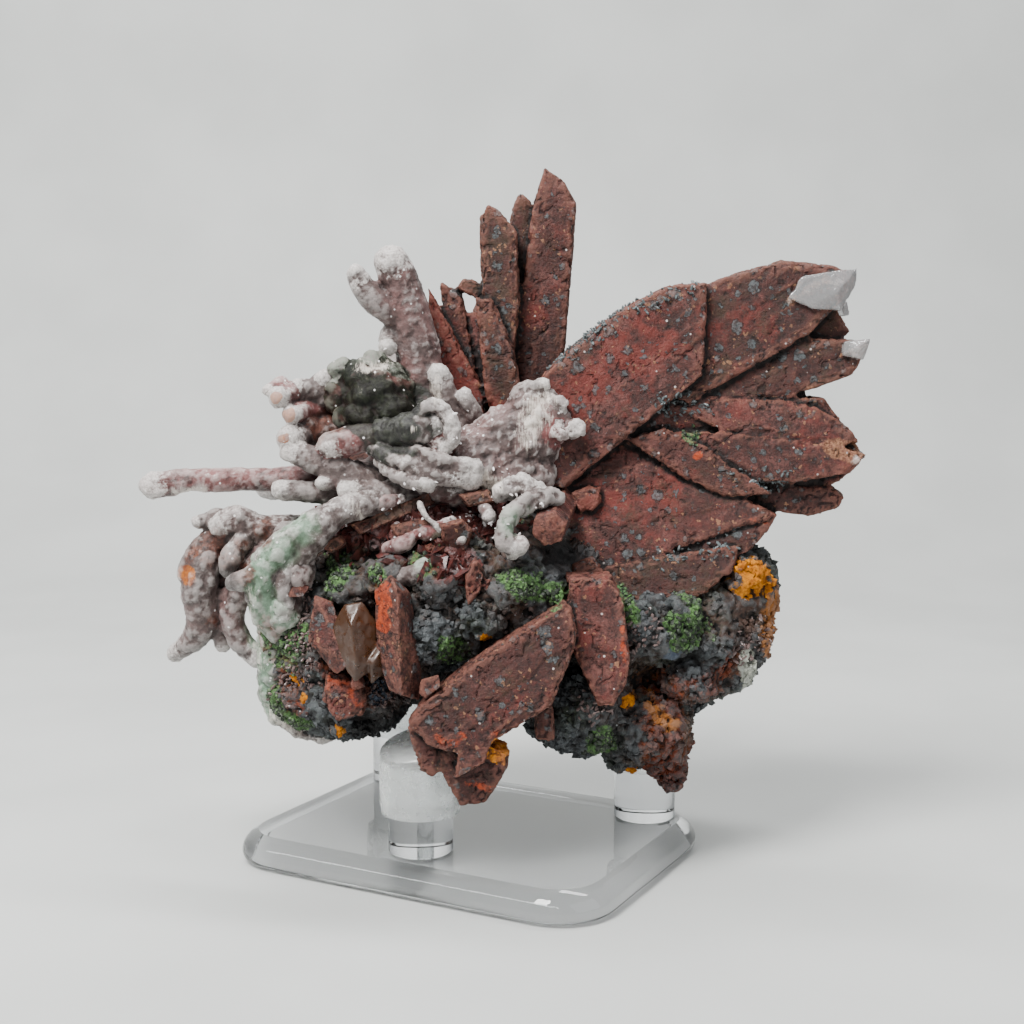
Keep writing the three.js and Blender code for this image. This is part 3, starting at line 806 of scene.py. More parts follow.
PATCHES = patches({
    # crusts on the ore, one place on the blades, and the haze on the silica
    Stain.GREEN: (
        (-25, 61, 4.5), (-17, 62, 2.5), (-7, 64, 4), (9, 60, 16, 57.5, 3), (-3, 47.5, 3.5), (-39, 35, 3.5),
        (-33, 31.5, 3.5), (25.5, 28, 4), (29.5, 56.5, 31.5, 53, 2), (42.5, 51, 5), (39, 52, 40, 48.5, 2.5),
        (-40, 62, -40, 30, 4, 0.8), (43.5, 86.5, 2.4), (-30, 70, -39, 61, 5, 0.7), (-39, 61, -36, 48, 5.5),
        (8.5, 72, 4.5, 0.6),
    ),
    # yellow-orange spots, and the cut ends of fingers with an orange core
    Stain.OCHRE: (
        (55.5, 58, 4.4, 1.3), (31.3, 36, 1.6, 1.3), (32.3, 20, 1.5), (6.5, 29.7, 2.8, 1.3), (-54.4, 60, 2.5),
        (3, 50, 1.8), (-33.2, 40.3, 1.5, 1.3), (-31.5, 36.8, 1.3, 1.3), (-24.8, 31.5, 1, 1.3),
        (-36.8, 94.2, 1.8, 1.6), (-34.2, 91, 1.5, 1.6), (-34.8, 86.6, 1.5, 1.4), (-53, 64.5, 1.8, 0.9),
    ),
    Stain.RUST: (
        (38, 37, 40, 20, 7), (-27, 43, -20, 37, 5, 0.62), (-38, 52, -33, 34, 4, 0.4), (45, 36, 52, 42, 4, 0.4),
        (-18, 45, 4), (-55, 66, 5), (-49.5, 65.5, 5), (-39.5, 69, 3), (54, 70.5, 60, 69, 3, 0.45),
        (45, 82.6, 1.6), (-1, 97, 5, 109, 3.5, 0.35), (-15.8, 59, -15, 53, 2.6, 1.2), (24, 99, 29, 100, 3, 0.45),
        (-5, 32, 6, 33, 4, 0.5), (0, 23, 5, 22, 2.5, 0.6), (1, 60, 1.5, 0.9), (74, 85, 3, 0.35),
        (29, 52, 29.5, 45, 1.6, 0.7), (-47, 64, -42, 61, 2.6, 0.9), (-50, 51, 2.6, 0.8), (-44, 66, 2.4, 0.9),
        (-28, 88.5, 4),
    ),
    Stain.RED: (
        (18, 92, 36, 104, 8), (48, 108, 56, 110, 6), (26, 72, 40, 76, 7), (12, 108, 16, 120, 6),
        (-8, 114, 0, 90, 7, 1.6), (-2, 108, 4, 92, 4, 1.2),
    ),
    # broken red crystals, and bright points: small white crystals, whose whiteness partly paints glints
    Stain.SHARD: ((-26, 69, 6, 73, 8), (-4, 64, -2, 70, 6)),
    Stain.SPARK: (
        (-27, 72, 8, 74, 8), (-2, 88, 2, 98, 5), (26, 45, 3), (-18.5, 100, 4), (-12, 112, -9, 119, 3, 0.6),
        (-4, 78, 4, 77, 3), (34, 89, 40, 92, 3),
    ),
    # a grey-pink druse of small crystals
    Stain.DRUSE: (
        (-34, 55, -30, 47, 5), (-34, 38, -29, 45, 4, 0.8), (-21, 38, -15, 36, 3.5), (33, 50, 5, 0.7),
        (12, 52, 6, 0.7), (56, 46, 5, 0.7), (23, 36, 4, 0.7),
    ),
    Stain.TAN: (
        (71, 84, 77, 83.5, 2.6), (67, 95, 1.8, 0.8), (63, 113, 70, 117, 2, 0.5), (64, 119, 1.4, 0.6),
        (76, 76, 1.6, 0.7), (51, 116, 1.2, 0.4), (60.5, 53, 60, 44, 3.5), (35, 35, 39, 31, 2.2),
    ),
    # pale places on the ore and the blades, bright ones on the silica, and a painted highlight on top of the mossy
    # knob
    Stain.WHITE: (
        (55, 43, 55, 38, 2.2), (-41, 58, -41, 42, 3, 0.6), (-39, 32, -34, 28, 4, 0.8),
        (62, 112.5, 69, 116, 3, 0.42), (72, 116, 4, 0.6), (77, 104, 3), (76, 82, 2, 0.6),
        # the first band of this row lies on top of the mossy knob: a painted highlight
        (-20, 100, -16.5, 100, 2.4, 1.1), (13.5, 93, 11.5, 86.5, 4.2, 0.85), (-6.5, 98, -6, 94, 2),
        (-62, 77, 3, 0.5), (-57, 76, -52, 76.5, 1.6, 0.9), (3, 79, 6, 77.5, 2, 1.1), (-10.5, 88.5, 1.2),
        (-22, 75, -20.5, 72, 1.2, 0.7),
    ),
    Stain.BLUE: ((39, 45.5, 2.5), (-26, 39, 2.5), (-18, 37, 3)),
    # dusting on the blades, and the mossy knob
    Stain.GREY: (
        (16, 101, 28, 110, 2.6, 0.8), (28, 110, 44, 115, 2, 0.6), (4, 121, 6, 126, 2.5, 0.8),
        (6, 105, 9, 112, 2.5, 0.8), (17, 124, 20, 116, 3, 0.6), (38, 93, 46, 92, 2.5, 0.8),
        (52, 78, 62, 78, 2.5, 0.6), (38, 63, 50, 65, 3, 0.4), (13.5, 52, 16, 47, 1.8, 0.7),
        (-19, 94, -14, 90, 8, 1.4),
    ),
    # painted shade: dark places in hollows, on a shaded slab and under the broken stub, where shadow falls
    Stain.DARK: ((27, 36, 2.5, 0.4), (-46, 59.5, 4), (17, 64, 6), (-18.8, 31, 6)),
})


# ---- finishes


def srgb(red: float, green: float, blue: float) -> Colour:
    """A display colour from 0 to 255 as linear light."""
    return tuple(c / 12.92 if c <= 0.04045 else ((c + 0.055) / 1.055) ** 2.4
                 for c in (red / 255, green / 255, blue / 255))


@dataclass(frozen=True)
class Finish:
    """What all finishes share: a name, a shine and the way a material is made."""

    name: str = "finish"
    roughness: float = 0.7
    specular: float = 0.5

    def material(self) -> Material:
        """The finish as a new material."""
        made = bpy.data.materials.new(self.name)
        made.use_nodes = True
        tree = Tree(made.node_tree)
        inputs = {"Roughness": self.roughness, "Specular IOR Level": self.specular}
        shader = tree.add("ShaderNodeBsdfPrincipled", {}, inputs)
        place = tree.node("ShaderNodeTexCoord", {}, {}, "Object")
        self.dress(tree, shader, place)
        tree.add("ShaderNodeOutputMaterial", {}, {"Surface": shader.outputs["BSDF"]} | self.inside(tree))
        return made

    def inside(self, tree: Tree) -> dict[str, bpy.types.NodeSocket]:
        """What fills the body, by the output's socket; most finishes are of a surface alone."""
        return {}

    def dress(self, tree: Tree, shader: bpy.types.Node, place: Value) -> None:
        """Fills the shader's inputs.

        Args:
            tree: the material's tree.
            shader: its Principled node.
            place: the Object coordinates.
        """

    @staticmethod
    def coat(tree: Tree, shader: bpy.types.Node, colour: Value, roughness: Value, height: Value,
             depth: float) -> None:
        """Gives the shader its colour, roughness and relief.

        Args:
            tree: the material's tree.
            shader: its Principled node.
            colour: the colour.
            roughness: the roughness.
            height: the relief, from about 0 to 1.
            depth: the depth of the relief, in millimetres.
        """
        bump = tree.node("ShaderNodeBump", {}, {"Height": height, "Distance": depth * MM, "Strength": 1.0})
        for name, value in (("Base Color", colour), ("Roughness", roughness), ("Normal", bump)):
            tree.feed(shader.inputs[name], value)


@dataclass(frozen=True)
class StainedQuartz(Finish):
    """Brown-red, dull faces, grey flakes, rubbed pale edges, painted shade in clefts, painted ridge light and
    glints.
    """

    name: str = "stained_quartz"
    specular: float = 0.35
    deep: Colour = srgb(36, 20, 18)
    base: Colour = srgb(70, 35, 30)
    red: Colour = srgb(102, 40, 33)
    light: Colour = srgb(112, 68, 62)
    worn_and_ridge_light: Colour = srgb(126, 80, 66)
    olive: Colour = srgb(56, 42, 29)
    tan: Colour = srgb(156, 112, 82)
    flake: Colour = srgb(84, 94, 97)
    glint_white: Colour = srgb(206, 196, 192)
    orange: Colour = srgb(176, 68, 26)
    green: Colour = srgb(84, 122, 74)
    pale: Colour = srgb(196, 186, 180)
    black: Colour = srgb(8, 6, 6)

    def dress(self, tree: Tree, shader: bpy.types.Node, place: Value) -> None:
        """Fills the shader's inputs."""
        along = tree.node("ShaderNodeAttribute", {"attribute_name": "grain"}, {}, "Vector")
        broad = tree.noise(place, 11 * MM, 3, 0.6)
        fine = tree.noise(place, 1.5 * MM, 5, 0.75, 3.0)
        tiny = tree.noise(place, 0.5 * MM, 3, 0.7, 13.0)
        streak = tree.noise(along, 1.4, 4, 0.65, 5.0)
        level = broad * 0.4 + fine * 0.8 + streak * 0.3 + tiny * 0.3
        tone = tree.mark("tone")
        colour = tree.mix(level.step(0.7, 1.05), self.deep, self.base)
        warm = tree.noise(place, 7 * MM, 4, 0.65, 40.0)
        reds = (warm * 0.8 + fine * 0.4 + tone * 0.14 + tree.mark(Stain.RED) * 0.25).step(0.62, 0.84)
        colour = tree.mix(reds * 0.85, colour, self.red)
        pink = tree.noise(place, 5 * MM, 4, 0.7, 44.0)
        colour = tree.mix((pink * 0.8 + tiny * 0.4 + tone * 0.2).step(0.62, 0.82) * 0.75, colour, self.light)
        olive = tree.noise(place, 6 * MM, 5, 0.75, 15.0)
        colour = tree.mix((olive * 0.9 + tiny * 0.3 - tone * 0.12).step(0.6, 0.78) * 0.8, colour, self.olive)
        edge = 1.0 - tree.mark("edge").step(0.05, 0.9)
        rubbed = (edge * 0.2 + fine * 0.7 + tiny * 0.4).step(0.68, 0.85)
        colour = tree.mix(rubbed * 0.5, colour, self.worn_and_ridge_light)

        rust = (tree.mark(Stain.RUST) * 0.9 + fine * 0.9 + broad * 0.5 - 0.1).step(0.95, 1.2)
        colour = tree.mix(rust * 0.8, colour, tree.mix(fine.step(0.35, 0.65), srgb(112, 38, 16), self.orange))

        ragged = tree.warped(place, 1.1 * MM, 0.9 * MM)
        grey = tree.mark(Stain.GREY)
        flaked = self.flakes(tree, ragged, 3.1, grey, fine).most(self.flakes(tree, ragged, 1.7, grey * 0.6, fine))
        rim = self.flakes(tree, ragged, 3.1, grey + 0.16, fine) - flaked
        tint = tree.noise(place, 0.7 * MM, 3, 0.7, 9.0)
        colour = tree.mix(rim * 0.6, colour, self.deep)
        colour = tree.mix(flaked * 0.7, colour, tree.mix(tint.step(0.38, 0.62), srgb(42, 47, 48), self.flake))
        fleck = self.flakes(tree, ragged, 1.0, grey * 0.5 - 0.03, tiny)
        colour = tree.mix(fleck * 0.55, colour, tree.mix(warm.step(0.45, 0.55), srgb(40, 38, 36), self.tan))
        tan = (tree.mark(Stain.TAN) + (fine - 0.5) * 1.1).step(0.2, 0.5)
        colour = tree.mix(tan * 0.8, colour, tree.mix(tiny.step(0.4, 0.6), srgb(96, 58, 38), self.tan))

        green = (tree.mark(Stain.GREEN) + fine * 0.9).step(0.75, 0.95)
        colour = tree.mix(green, colour, tree.mix(tint.step(0.42, 0.6), srgb(24, 34, 22), self.green))
        pale = (tree.mark(Stain.WHITE) * 0.9 + fine * 0.8 + tiny * 0.2 - 0.05).step(0.78, 0.98)
        colour = tree.mix(pale * 0.9, colour, self.pale)
        # painted glints: small white spots
        painted_glints = 1.0 - tree.cells(place, 1.0 / (3.4 * MM)).step(0.045, 0.085)
        colour = tree.mix(painted_glints * 0.8, colour, self.glint_white)

        ochre = (tree.mark(Stain.OCHRE) + (fine - 0.5) * 0.7).step(0.12, 0.26)
        colour = tree.mix(ochre, colour, tree.mix(fine.step(0.35, 0.65), srgb(128, 66, 4), srgb(206, 128, 6)))
        hollow = tree.mark("cavity")
        # painted light: lighter on ridges, in the colour that also marks rubbed edges
        colour = tree.mix((0.0 - hollow).step(0.1, 0.5) * 0.35, colour, self.worn_and_ridge_light)
        # painted shade: clefts where crystals meet, deep hollows, sunk places and the painted-shade patches go
        # towards black; the pits from noise are small dark spots
        shade = tree.mark("crevice").step(0.05, 0.5).most(hollow.step(0.25, 1.0))
        pits = (0.5 - fine).step(0.1, 0.2).most(tree.mark("sunk").step(0.35, 0.8))
        dark = tree.mark(Stain.DARK).step(0.1, 0.7)
        colour = tree.mix((shade * 0.92).most(pits * 0.55).most(dark * 0.9), colour, self.black)

        gloss = 0.62 - flaked * 0.15 - pale * 0.25 - painted_glints * 0.3 + pits * 0.1
        height = fine + tiny * 0.7 + flaked * 0.5 - pits * 0.4 + streak * 0.3
        self.coat(tree, shader, colour, gloss, height, 0.5)

    @staticmethod
    def flakes(tree: Tree, place: Value, size: float, more: Value, noise: Value) -> Value:
        """Scattered ragged flakes, one in some of a pattern's cells.

        Args:
            tree: the material's tree.
            place: the position it reads.
            size: the size of the cells, in millimetres.
            more: how much larger the flakes are there.
            noise: what frays their edges.

        Returns:
            1 on the flakes and 0 between them.
        """
        scale = 1.0 / (size * MM)
        away = tree.cells(place, scale)
        chance = tree.node("ShaderNodeSeparateXYZ", {}, {0: tree.cells(place, scale, "Color")}, "X")
        radius = (chance - 0.34) * 0.62 + more * 0.5
        return (radius - away + (noise - 0.5) * 0.5).step(0.0, 0.05)


@dataclass(frozen=True)
class Ironstone(Finish):
    """Dark grey-black, cracked and lumpy iron ore with coloured crusts."""

    name: str = "ironstone"
    specular: float = 0.35
    deep: Colour = srgb(22, 22, 23)
    base: Colour = srgb(49, 50, 52)
    light: Colour = srgb(90, 96, 99)
    brown: Colour = srgb(72, 44, 28)
    olive: Colour = srgb(48, 56, 38)
    rust: Colour = srgb(112, 44, 12)
    green: Colour = srgb(86, 124, 66)
    ochre: Colour = srgb(196, 122, 0)
    tan: Colour = srgb(150, 92, 36)
    blue: Colour = srgb(70, 80, 96)
    pale: Colour = srgb(170, 172, 160)

    def dress(self, tree: Tree, shader: bpy.types.Node, place: Value) -> None:
        """Fills the shader's inputs."""
        broad = tree.noise(place, 8 * MM, 4, 0.6)
        fine = tree.noise(place, 1.2 * MM, 5, 0.7, 2.0)
        tiny = tree.noise(place, 0.5 * MM, 3, 0.65, 4.0)
        sunk = tree.mark("sunk")
        # darker where the skin is sunk in cracks and lows: painted shade
        level = broad * 0.6 + fine * 0.8 + tiny * 0.2 - sunk * 0.5
        colour = tree.mix(level.step(0.45, 1.15), self.deep, self.base)
        colour = tree.mix((fine * 0.7 + tiny * 0.5 - sunk * 0.6).step(0.62, 0.95) * 0.7, colour, self.light)
        browns = tree.noise(place, 14 * MM, 4, 0.6, 11.0)
        colour = tree.mix((browns * 1.1 + fine * 0.5).step(0.7, 0.95) * 0.7, colour, self.brown)
        olive = tree.noise(place, 9 * MM, 4, 0.65, 21.0)
        colour = tree.mix((olive * 1.1 + tiny * 0.5).step(0.78, 1.0) * 0.6, colour, self.olive)

        def over(under: Value, kind: Stain, top: object, low: float, high: float,
                 rough: float = 0.9) -> tuple[Value, Value]:
            """Lays a stain over the colour, with an edge that follows the fine noise."""
            mask = (tree.mark(kind) + (fine - 0.5) * rough).step(low, high)
            return tree.mix(mask, under, top), mask

        shades = tree.mix(browns.step(0.42, 0.6), self.rust, srgb(92, 58, 20))
        rusty = tree.mix(fine.step(0.35, 0.65), srgb(40, 18, 9), shades)
        colour, _ = over(colour, Stain.RUST, rusty, 0.1, 0.4)
        colour, _ = over(colour, Stain.TAN, self.tan, 0.2, 0.5)
        colour, _ = over(colour, Stain.BLUE, self.blue, 0.3, 0.6)
        leafy = tree.mix((fine * 0.6 + tiny * 0.4).step(0.35, 0.65), srgb(22, 30, 18), self.green)
        colour, green = over(colour, Stain.GREEN, leafy, 0.12, 0.38)
        colour, _ = over(colour, Stain.WHITE, self.pale, 0.25, 0.55)
        yellow = tree.mix(fine.step(0.35, 0.65), srgb(140, 76, 0), self.ochre)
        colour, ochre = over(colour, Stain.OCHRE, yellow, 0.12, 0.26, 0.7)
        # painted glints: small white spots
        painted_glints = 1.0 - tree.cells(place, 1.0 / (3.1 * MM)).step(0.04, 0.07)
        colour = tree.mix(painted_glints * 0.6, colour, srgb(200, 204, 206))
        reds = (tree.mark(Stain.SHARD) + (fine - 0.5) * 1.4).step(0.2, 0.5)
        colour = tree.mix(reds * 0.9, colour, tree.mix(level.step(0.5, 1.0), srgb(26, 12, 10), srgb(92, 40, 34)))
        hollow = tree.mark("cavity")
        # painted light: lighter on ridges
        colour = tree.mix((0.0 - hollow).step(0.15, 0.9) * 0.3 * (1.0 - ochre) * (1.0 - green), colour, self.light)
        # painted shade: hollows and the painted-shade patches go almost black
        hollow_shade = hollow.step(0.1, 0.9).most(tree.mark(Stain.DARK).step(0.1, 0.6))
        colour = tree.mix(hollow_shade * 0.92, colour, srgb(7, 6, 6))
        gloss = 0.66 - level.step(0.6, 1.1) * 0.2 + ochre * 0.25 + green * 0.1 - painted_glints * 0.3
        self.coat(tree, shader, colour, gloss, fine + tiny * 0.8, 0.45)


@dataclass(frozen=True)
class PaleSilica(Finish):
    """White crusts over a grey-brown to rosy core, knobby, with white ends and green haze in places."""

    name: str = "pale_silica"
    sheen: float = 0.1
    specular: float = 0.4
    white: Colour = srgb(204, 198, 194)
    grey: Colour = srgb(98, 85, 82)
    core: Colour = srgb(48, 36, 34)
    rose: Colour = srgb(124, 72, 70)
    brown: Colour = srgb(56, 28, 26)
    green: Colour = srgb(122, 154, 130)
    moss: Colour = srgb(44, 48, 38)
    shadow: Colour = srgb(30, 20, 18)
    orange: Colour = srgb(156, 86, 6)
    end_start: float = 0.8

    def dress(self, tree: Tree, shader: bpy.types.Node, place: Value) -> None:
        """Fills the shader's inputs."""
        tree.feed(shader.inputs["Sheen Weight"], self.sheen)
        tree.feed(shader.inputs["Sheen Roughness"], 0.4)
        broad = tree.noise(place, 6 * MM, 4, 0.6)
        fine = tree.noise(place, 1.2 * MM, 5, 0.72, 6.0)
        tiny = tree.noise(place, 0.45 * MM, 3, 0.65, 8.0)
        sunk = tree.mark("sunk")
        up = tree.node("ShaderNodeSeparateXYZ", {}, {0: tree.node("ShaderNodeNewGeometry", {}, {}, "Normal")}, "Z")
        rose, pale, tip = (tree.mark(name) for name in ("rose", "pale", "tip"))
        # lighter, and whiter with crust, where the surface faces up: painted top light; darker where it is sunk:
        # painted shade
        level = broad * 0.6 + fine * 0.6 + up * 0.09 - sunk * 0.25
        colour = tree.mix(level.step(0.35, 0.8), self.core, self.grey)
        rosy = tree.mix(level.step(0.35, 0.8), self.brown, self.rose)
        colour = tree.mix((rose + (broad - 0.5) * 0.7).step(0.1, 0.8), colour, rosy)
        ends = (tip + (fine - 0.5) * 0.3).step(self.end_start, 1.0)
        crusted = (level + pale * 0.32 + ends * 0.4 + tiny * 0.25 + fine * 0.15).step(1.04, 1.28)
        colour = tree.mix(crusted * 0.85, colour, tree.mix(tiny.step(0.35, 0.65), srgb(140, 134, 130), self.white))
        green = (tree.mark(Stain.GREEN) + (broad - 0.5) * 0.6).step(0.1, 0.6)
        colour = tree.mix(green * 0.75, colour, tree.mix(level.step(0.35, 0.8), srgb(64, 92, 64), self.green))
        moss = (tree.mark(Stain.GREY) + (fine - 0.5) * 0.8).step(0.1, 0.45)
        colour = tree.mix(moss * 0.95, colour, tree.mix(fine.step(0.4, 0.65), srgb(14, 15, 13), self.moss))
        orange = (tree.mark(Stain.OCHRE) + (fine - 0.5) * 0.7).step(0.2, 0.4)
        colour = tree.mix(orange, colour, tree.mix(fine.step(0.35, 0.65), srgb(104, 42, 12), self.orange))
        rust = (tree.mark(Stain.RUST) + (fine - 0.5) * 0.9).step(0.1, 0.4)
        colour = tree.mix(rust * 0.9, colour, tree.mix(fine.step(0.35, 0.65), srgb(38, 20, 15), srgb(98, 52, 36)))
        squeezed = tree.vector("MULTIPLY", {0: place, 1: (5.0, 3.0, 0.5)})
        fibres = tree.noise(squeezed, 2.2 * MM, 4, 0.7, 12.0)
        # bright white streaks, and the painted highlight on top of the mossy knob
        bright = (tree.mark(Stain.WHITE) + (fibres - 0.5) * 2.4 + (fine - 0.5) * 0.8).step(0.35, 1.0)
        colour = tree.mix(bright * 0.75, colour, srgb(222, 212, 200))
        # painted glints: small white spots
        painted_glints = (1.0 - tree.cells(place, 1.0 / (2.2 * MM)).step(0.07, 0.13)) * broad.step(0.42, 0.55)
        colour = tree.mix(painted_glints * 0.85, colour, srgb(240, 238, 236))
        hollow = tree.mark("cavity")
        # painted light: whiter on ridges
        painted_ridge_light = ((0.0 - hollow) + (fine - 0.5) * 0.9).step(0.3, 0.9)
        colour = tree.mix(painted_ridge_light * 0.3 * (1.0 - moss), colour, self.white)
        # painted shade: hollows and the painted-shade patches go towards the shadow colour
        shade = hollow.step(0.1, 1.0).most(tree.mark(Stain.DARK).step(0.1, 0.6))
        colour = tree.mix(shade * 0.75, colour, self.shadow)
        self.coat(tree, shader, colour, 0.6 - tiny * 0.3 - bright * 0.2, fine * 0.9 + tiny * 0.6, 0.3)


@dataclass(frozen=True)
class Grains(Finish):
    """Small crusty grains or crystals that vary from one to the next."""

    name: str = "grains"
    dark: Colour = srgb(56, 74, 48)
    light: Colour = srgb(140, 160, 112)
    spread: float = 1.1
    bottom: float = 0.3
    top: float = 0.7

    def dress(self, tree: Tree, shader: bpy.types.Node, place: Value) -> None:
        """Fills the shader's inputs."""
        mixed = tree.noise(place, self.spread * MM, 4, 0.7)
        colour = tree.mix(mixed.step(self.bottom, self.top), self.dark, self.light)
        relief = tree.noise(place, 0.3 * MM, 3, 0.6, 2.0)
        self.coat(tree, shader, colour, self.roughness - mixed * 0.2, relief, 0.06)


@dataclass(frozen=True)
class Clear(Finish):
    """A see-through body, such as clear crystal or polished acrylic."""

    name: str = "clear"
    tint: Colour = (1.0, 1.0, 1.0)
    ior: float = 1.49
    roughness: float = 0.02
    haze: float = 0.0
    milk: float = 0.0
    haze_size: float = 4.0
    absorbed: Colour = (1.0, 1.0, 1.0)
    density: float = 0.0

    def inside(self, tree: Tree) -> dict[str, bpy.types.NodeSocket]:
        """What the body absorbs, where it absorbs anything."""
        if not self.density:
            return {}
        absorption = tree.add("ShaderNodeVolumeAbsorption", {}, {"Color": self.absorbed, "Density": self.density})
        return {"Volume": absorption.outputs["Volume"]}

    def dress(self, tree: Tree, shader: bpy.types.Node, place: Value) -> None:
        """Fills the shader's inputs."""
        tree.feed(shader.inputs["Base Color"], self.tint)
        tree.feed(shader.inputs["Transmission Weight"], 1.0 - self.milk)
        tree.feed(shader.inputs["IOR"], self.ior)
        cloud = tree.noise(place, self.haze_size * MM, 4, 0.6)
        tree.feed(shader.inputs["Roughness"], cloud.step(0.3, 0.75) * self.haze + self.roughness)


# ---- the crystals


UPRIGHT: tuple[Slab, ...] = (
    Slab(((15, 140), (18.5, 138), (21.5, 133), (21, 124), (19, 99), (18, 90), (7.5, 90), (10, 110), (12.5, 132)),
         6, 10, tone=0.1),
    Slab(((3.5, 132.5), (5.5, 131.5), (9.5, 127), (10, 112), (8, 95), (3, 95), (2, 124), (2, 130)), 2, 8, tone=-0.6),
    Slab(((10, 135.5), (12, 134), (13, 132), (13, 100), (8, 100), (8, 131)), 9, 6, tone=-0.6),
    Slab(((1, 114), (4.5, 113.5), (9, 103.5), (11, 90), (6, 86), (3, 94), (2, 110)), -1, 7, tone=-0.5),
    Slab(((-6.5, 116), (-6, 117), (-3.5, 116), (-1.5, 114), (1.5, 97), (-2, 95), (-6, 113)), 6, 5, tone=0),
    Slab(((-8.5, 116), (-6.5, 112.5), (3, 95), (3, 86), (-4, 86), (-8.5, 100)), 2, 6, tone=0.3),
    Slab(((-1, 111), (1.5, 111.5), (5, 104), (5, 90), (0, 90), (-2, 106)), 7, 5, tone=0.6),
    Slab(((-3, 116), (-1.5, 118), (1, 117.5), (3, 116), (2, 113.5), (-1.5, 114.5)), 5, 4, tone=-0.3),
)

FAN: tuple[Slab, ...] = (
    Slab(((15, 99), (19.5, 103.5), (29, 111), (35, 112.5), (39, 116), (46.5, 116.5), (46.5, 110), (46, 98.5),
          (35.5, 92), (18.5, 76), (8, 80), (8, 90)), -9, 10, (0.02, 0.04), 0.2),
    Slab(((40, 113), (49.5, 117.5), (57, 118.5), (62, 121), (70.5, 120), (75, 119), (75, 116.5), (72, 111.5),
          (67, 106), (43, 92.5), (34, 95)), -5.5, 10, (0, 0.06), -0.2),
    Slab(((69.5, 113), (73, 112), (76, 107), (73.5, 104.5), (63.5, 104), (62, 110)), -1.5, 7, tone=-0.5),
    Slab(((67, 106), (72, 104.5), (79, 105), (77.5, 101), (76, 98.5), (65.5, 94.5), (43, 89), (43, 93),
          (52.5, 98)), -5, 9, (0, 0.08), -0.3),
    Slab(((28, 87), (37.5, 93.5), (57, 95), (65.5, 94.5), (70.5, 94), (75, 88), (78.3, 83), (77.5, 80), (74, 77),
          (63.5, 75), (52.5, 74), (44, 77), (34, 82)), -5, 11, (0.03, -0.05), 0),
    Slab(((40, 92.3), (50, 93.8), (60, 94), (68, 92.5), (75, 88.3), (77, 85), (66, 84.5), (50, 87)), -6.6, 7,
         (-0.02, 0.12), 0.3),
    Slab(((36, 87.5), (48, 87.5), (62, 86), (72, 85), (78.3, 82.7), (75, 79), (64, 77), (50, 77.5)), -7.7, 7,
         (-0.02, 0.06), 0.15),
    Slab(((30, 86), (38, 88.5), (46, 85), (53, 79), (60, 75), (50, 74.5), (42, 78)), -8.4, 7, (-0.03, 0.06), 0),
    Slab(((44, 77), (54, 73.5), (63.5, 73), (72.5, 76.3), (75, 74.3), (74, 72), (68, 70), (60, 71.5), (52, 72.5)),
         -4.5, 8, (0, -0.1), -0.1),
    Slab(((17, 75.5), (31, 86), (43.5, 80.5), (51, 73.5), (61, 71), (46, 67), (32, 61.5), (21, 60.5),
          (16, 66)), -9, 11, (0, 0.27), 0.1),
    Slab(((31, 62.5), (37, 64.5), (46, 68.5), (61, 71.2), (58, 66.5), (55.5, 64), (46, 60), (34, 58)), -10, 9,
         (0, 0.25), -0.3),
    Slab(((22, 60.5), (31, 62), (40, 64), (53.5, 65.5), (52, 60.5), (46, 55.5), (38, 54), (26, 55)), -12.5, 11,
         (0, 0.3), -0.6),
    Slab(((19.5, 75.5), (23.5, 77), (26, 76.5), (26, 73.5), (24, 71.5), (21.5, 71.5)), -10.5, 6, tone=0.2),
    Slab(((20, 62), (24, 63.5), (27, 60.5), (24, 57), (19.5, 58)), -15, 6, (0.1, 0.1), -0.3),
)

LOWER: tuple[Slab, ...] = (
    Slab(((18, 57), (19.5, 56), (20.5, 51), (20, 48), (16, 41), (16, 38), (12.5, 35.5), (3.5, 30.5), (1, 29),
          (-3.5, 29.5), (-7.5, 31), (-11, 35), (-8.5, 38.5), (3.5, 48)), -31, 9, (0.06, 0.08), -0.1),
    Slab(((12.5, 36), (16, 37.5), (16.5, 33.5), (16.5, 30), (12.5, 30.5)), -27, 8, tone=-0.2),
    # this slab lies in shade, and its tone is raised so that it reads lighter: painted light
    Slab(((18.5, 61), (27, 61), (29.4, 57), (29, 50.5), (30.8, 45.5), (30, 40.5), (27.5, 36.5), (24.6, 36.2),
          (22.8, 40), (19.6, 47)), -25, 14, (-0.1, 0.1), 0.4),
    Slab(((-22, 43.6), (-20, 43.3), (-19.2, 40.4), (-21.9, 39.4)), -26, 5, tone=0.6, bevel=0.8),
    Slab(((-27, 42), (-21, 41.5), (-18.5, 38.5), (-20, 34), (-25, 33), (-28, 37)), -22.5, 7, (0.1, 0.1), 0.3),
    Slab(((-0.5, 62), (1.6, 65.6), (3.6, 62), (2.6, 58.5), (0.2, 56)), -27.5, 5, (0.3, 0), 0.2),
    Slab(((-5, 31), (4.5, 31), (8, 29), (7.6, 25.5), (3.6, 18.8), (-1.5, 18.2), (-3.5, 22.5), (-5.5, 26)), -30, 9,
         (0, -0.15), 0),
    Slab(((-1.5, 31.5), (5, 31), (3.5, 27.5), (-2.5, 24.5)), -32.3, 5, (0, 0.1), 0.3),
    Slab(((-11, 34), (-4, 32), (-5, 25), (-6.5, 24), (-9, 25.5)), -30, 6, tone=-0.1),
)

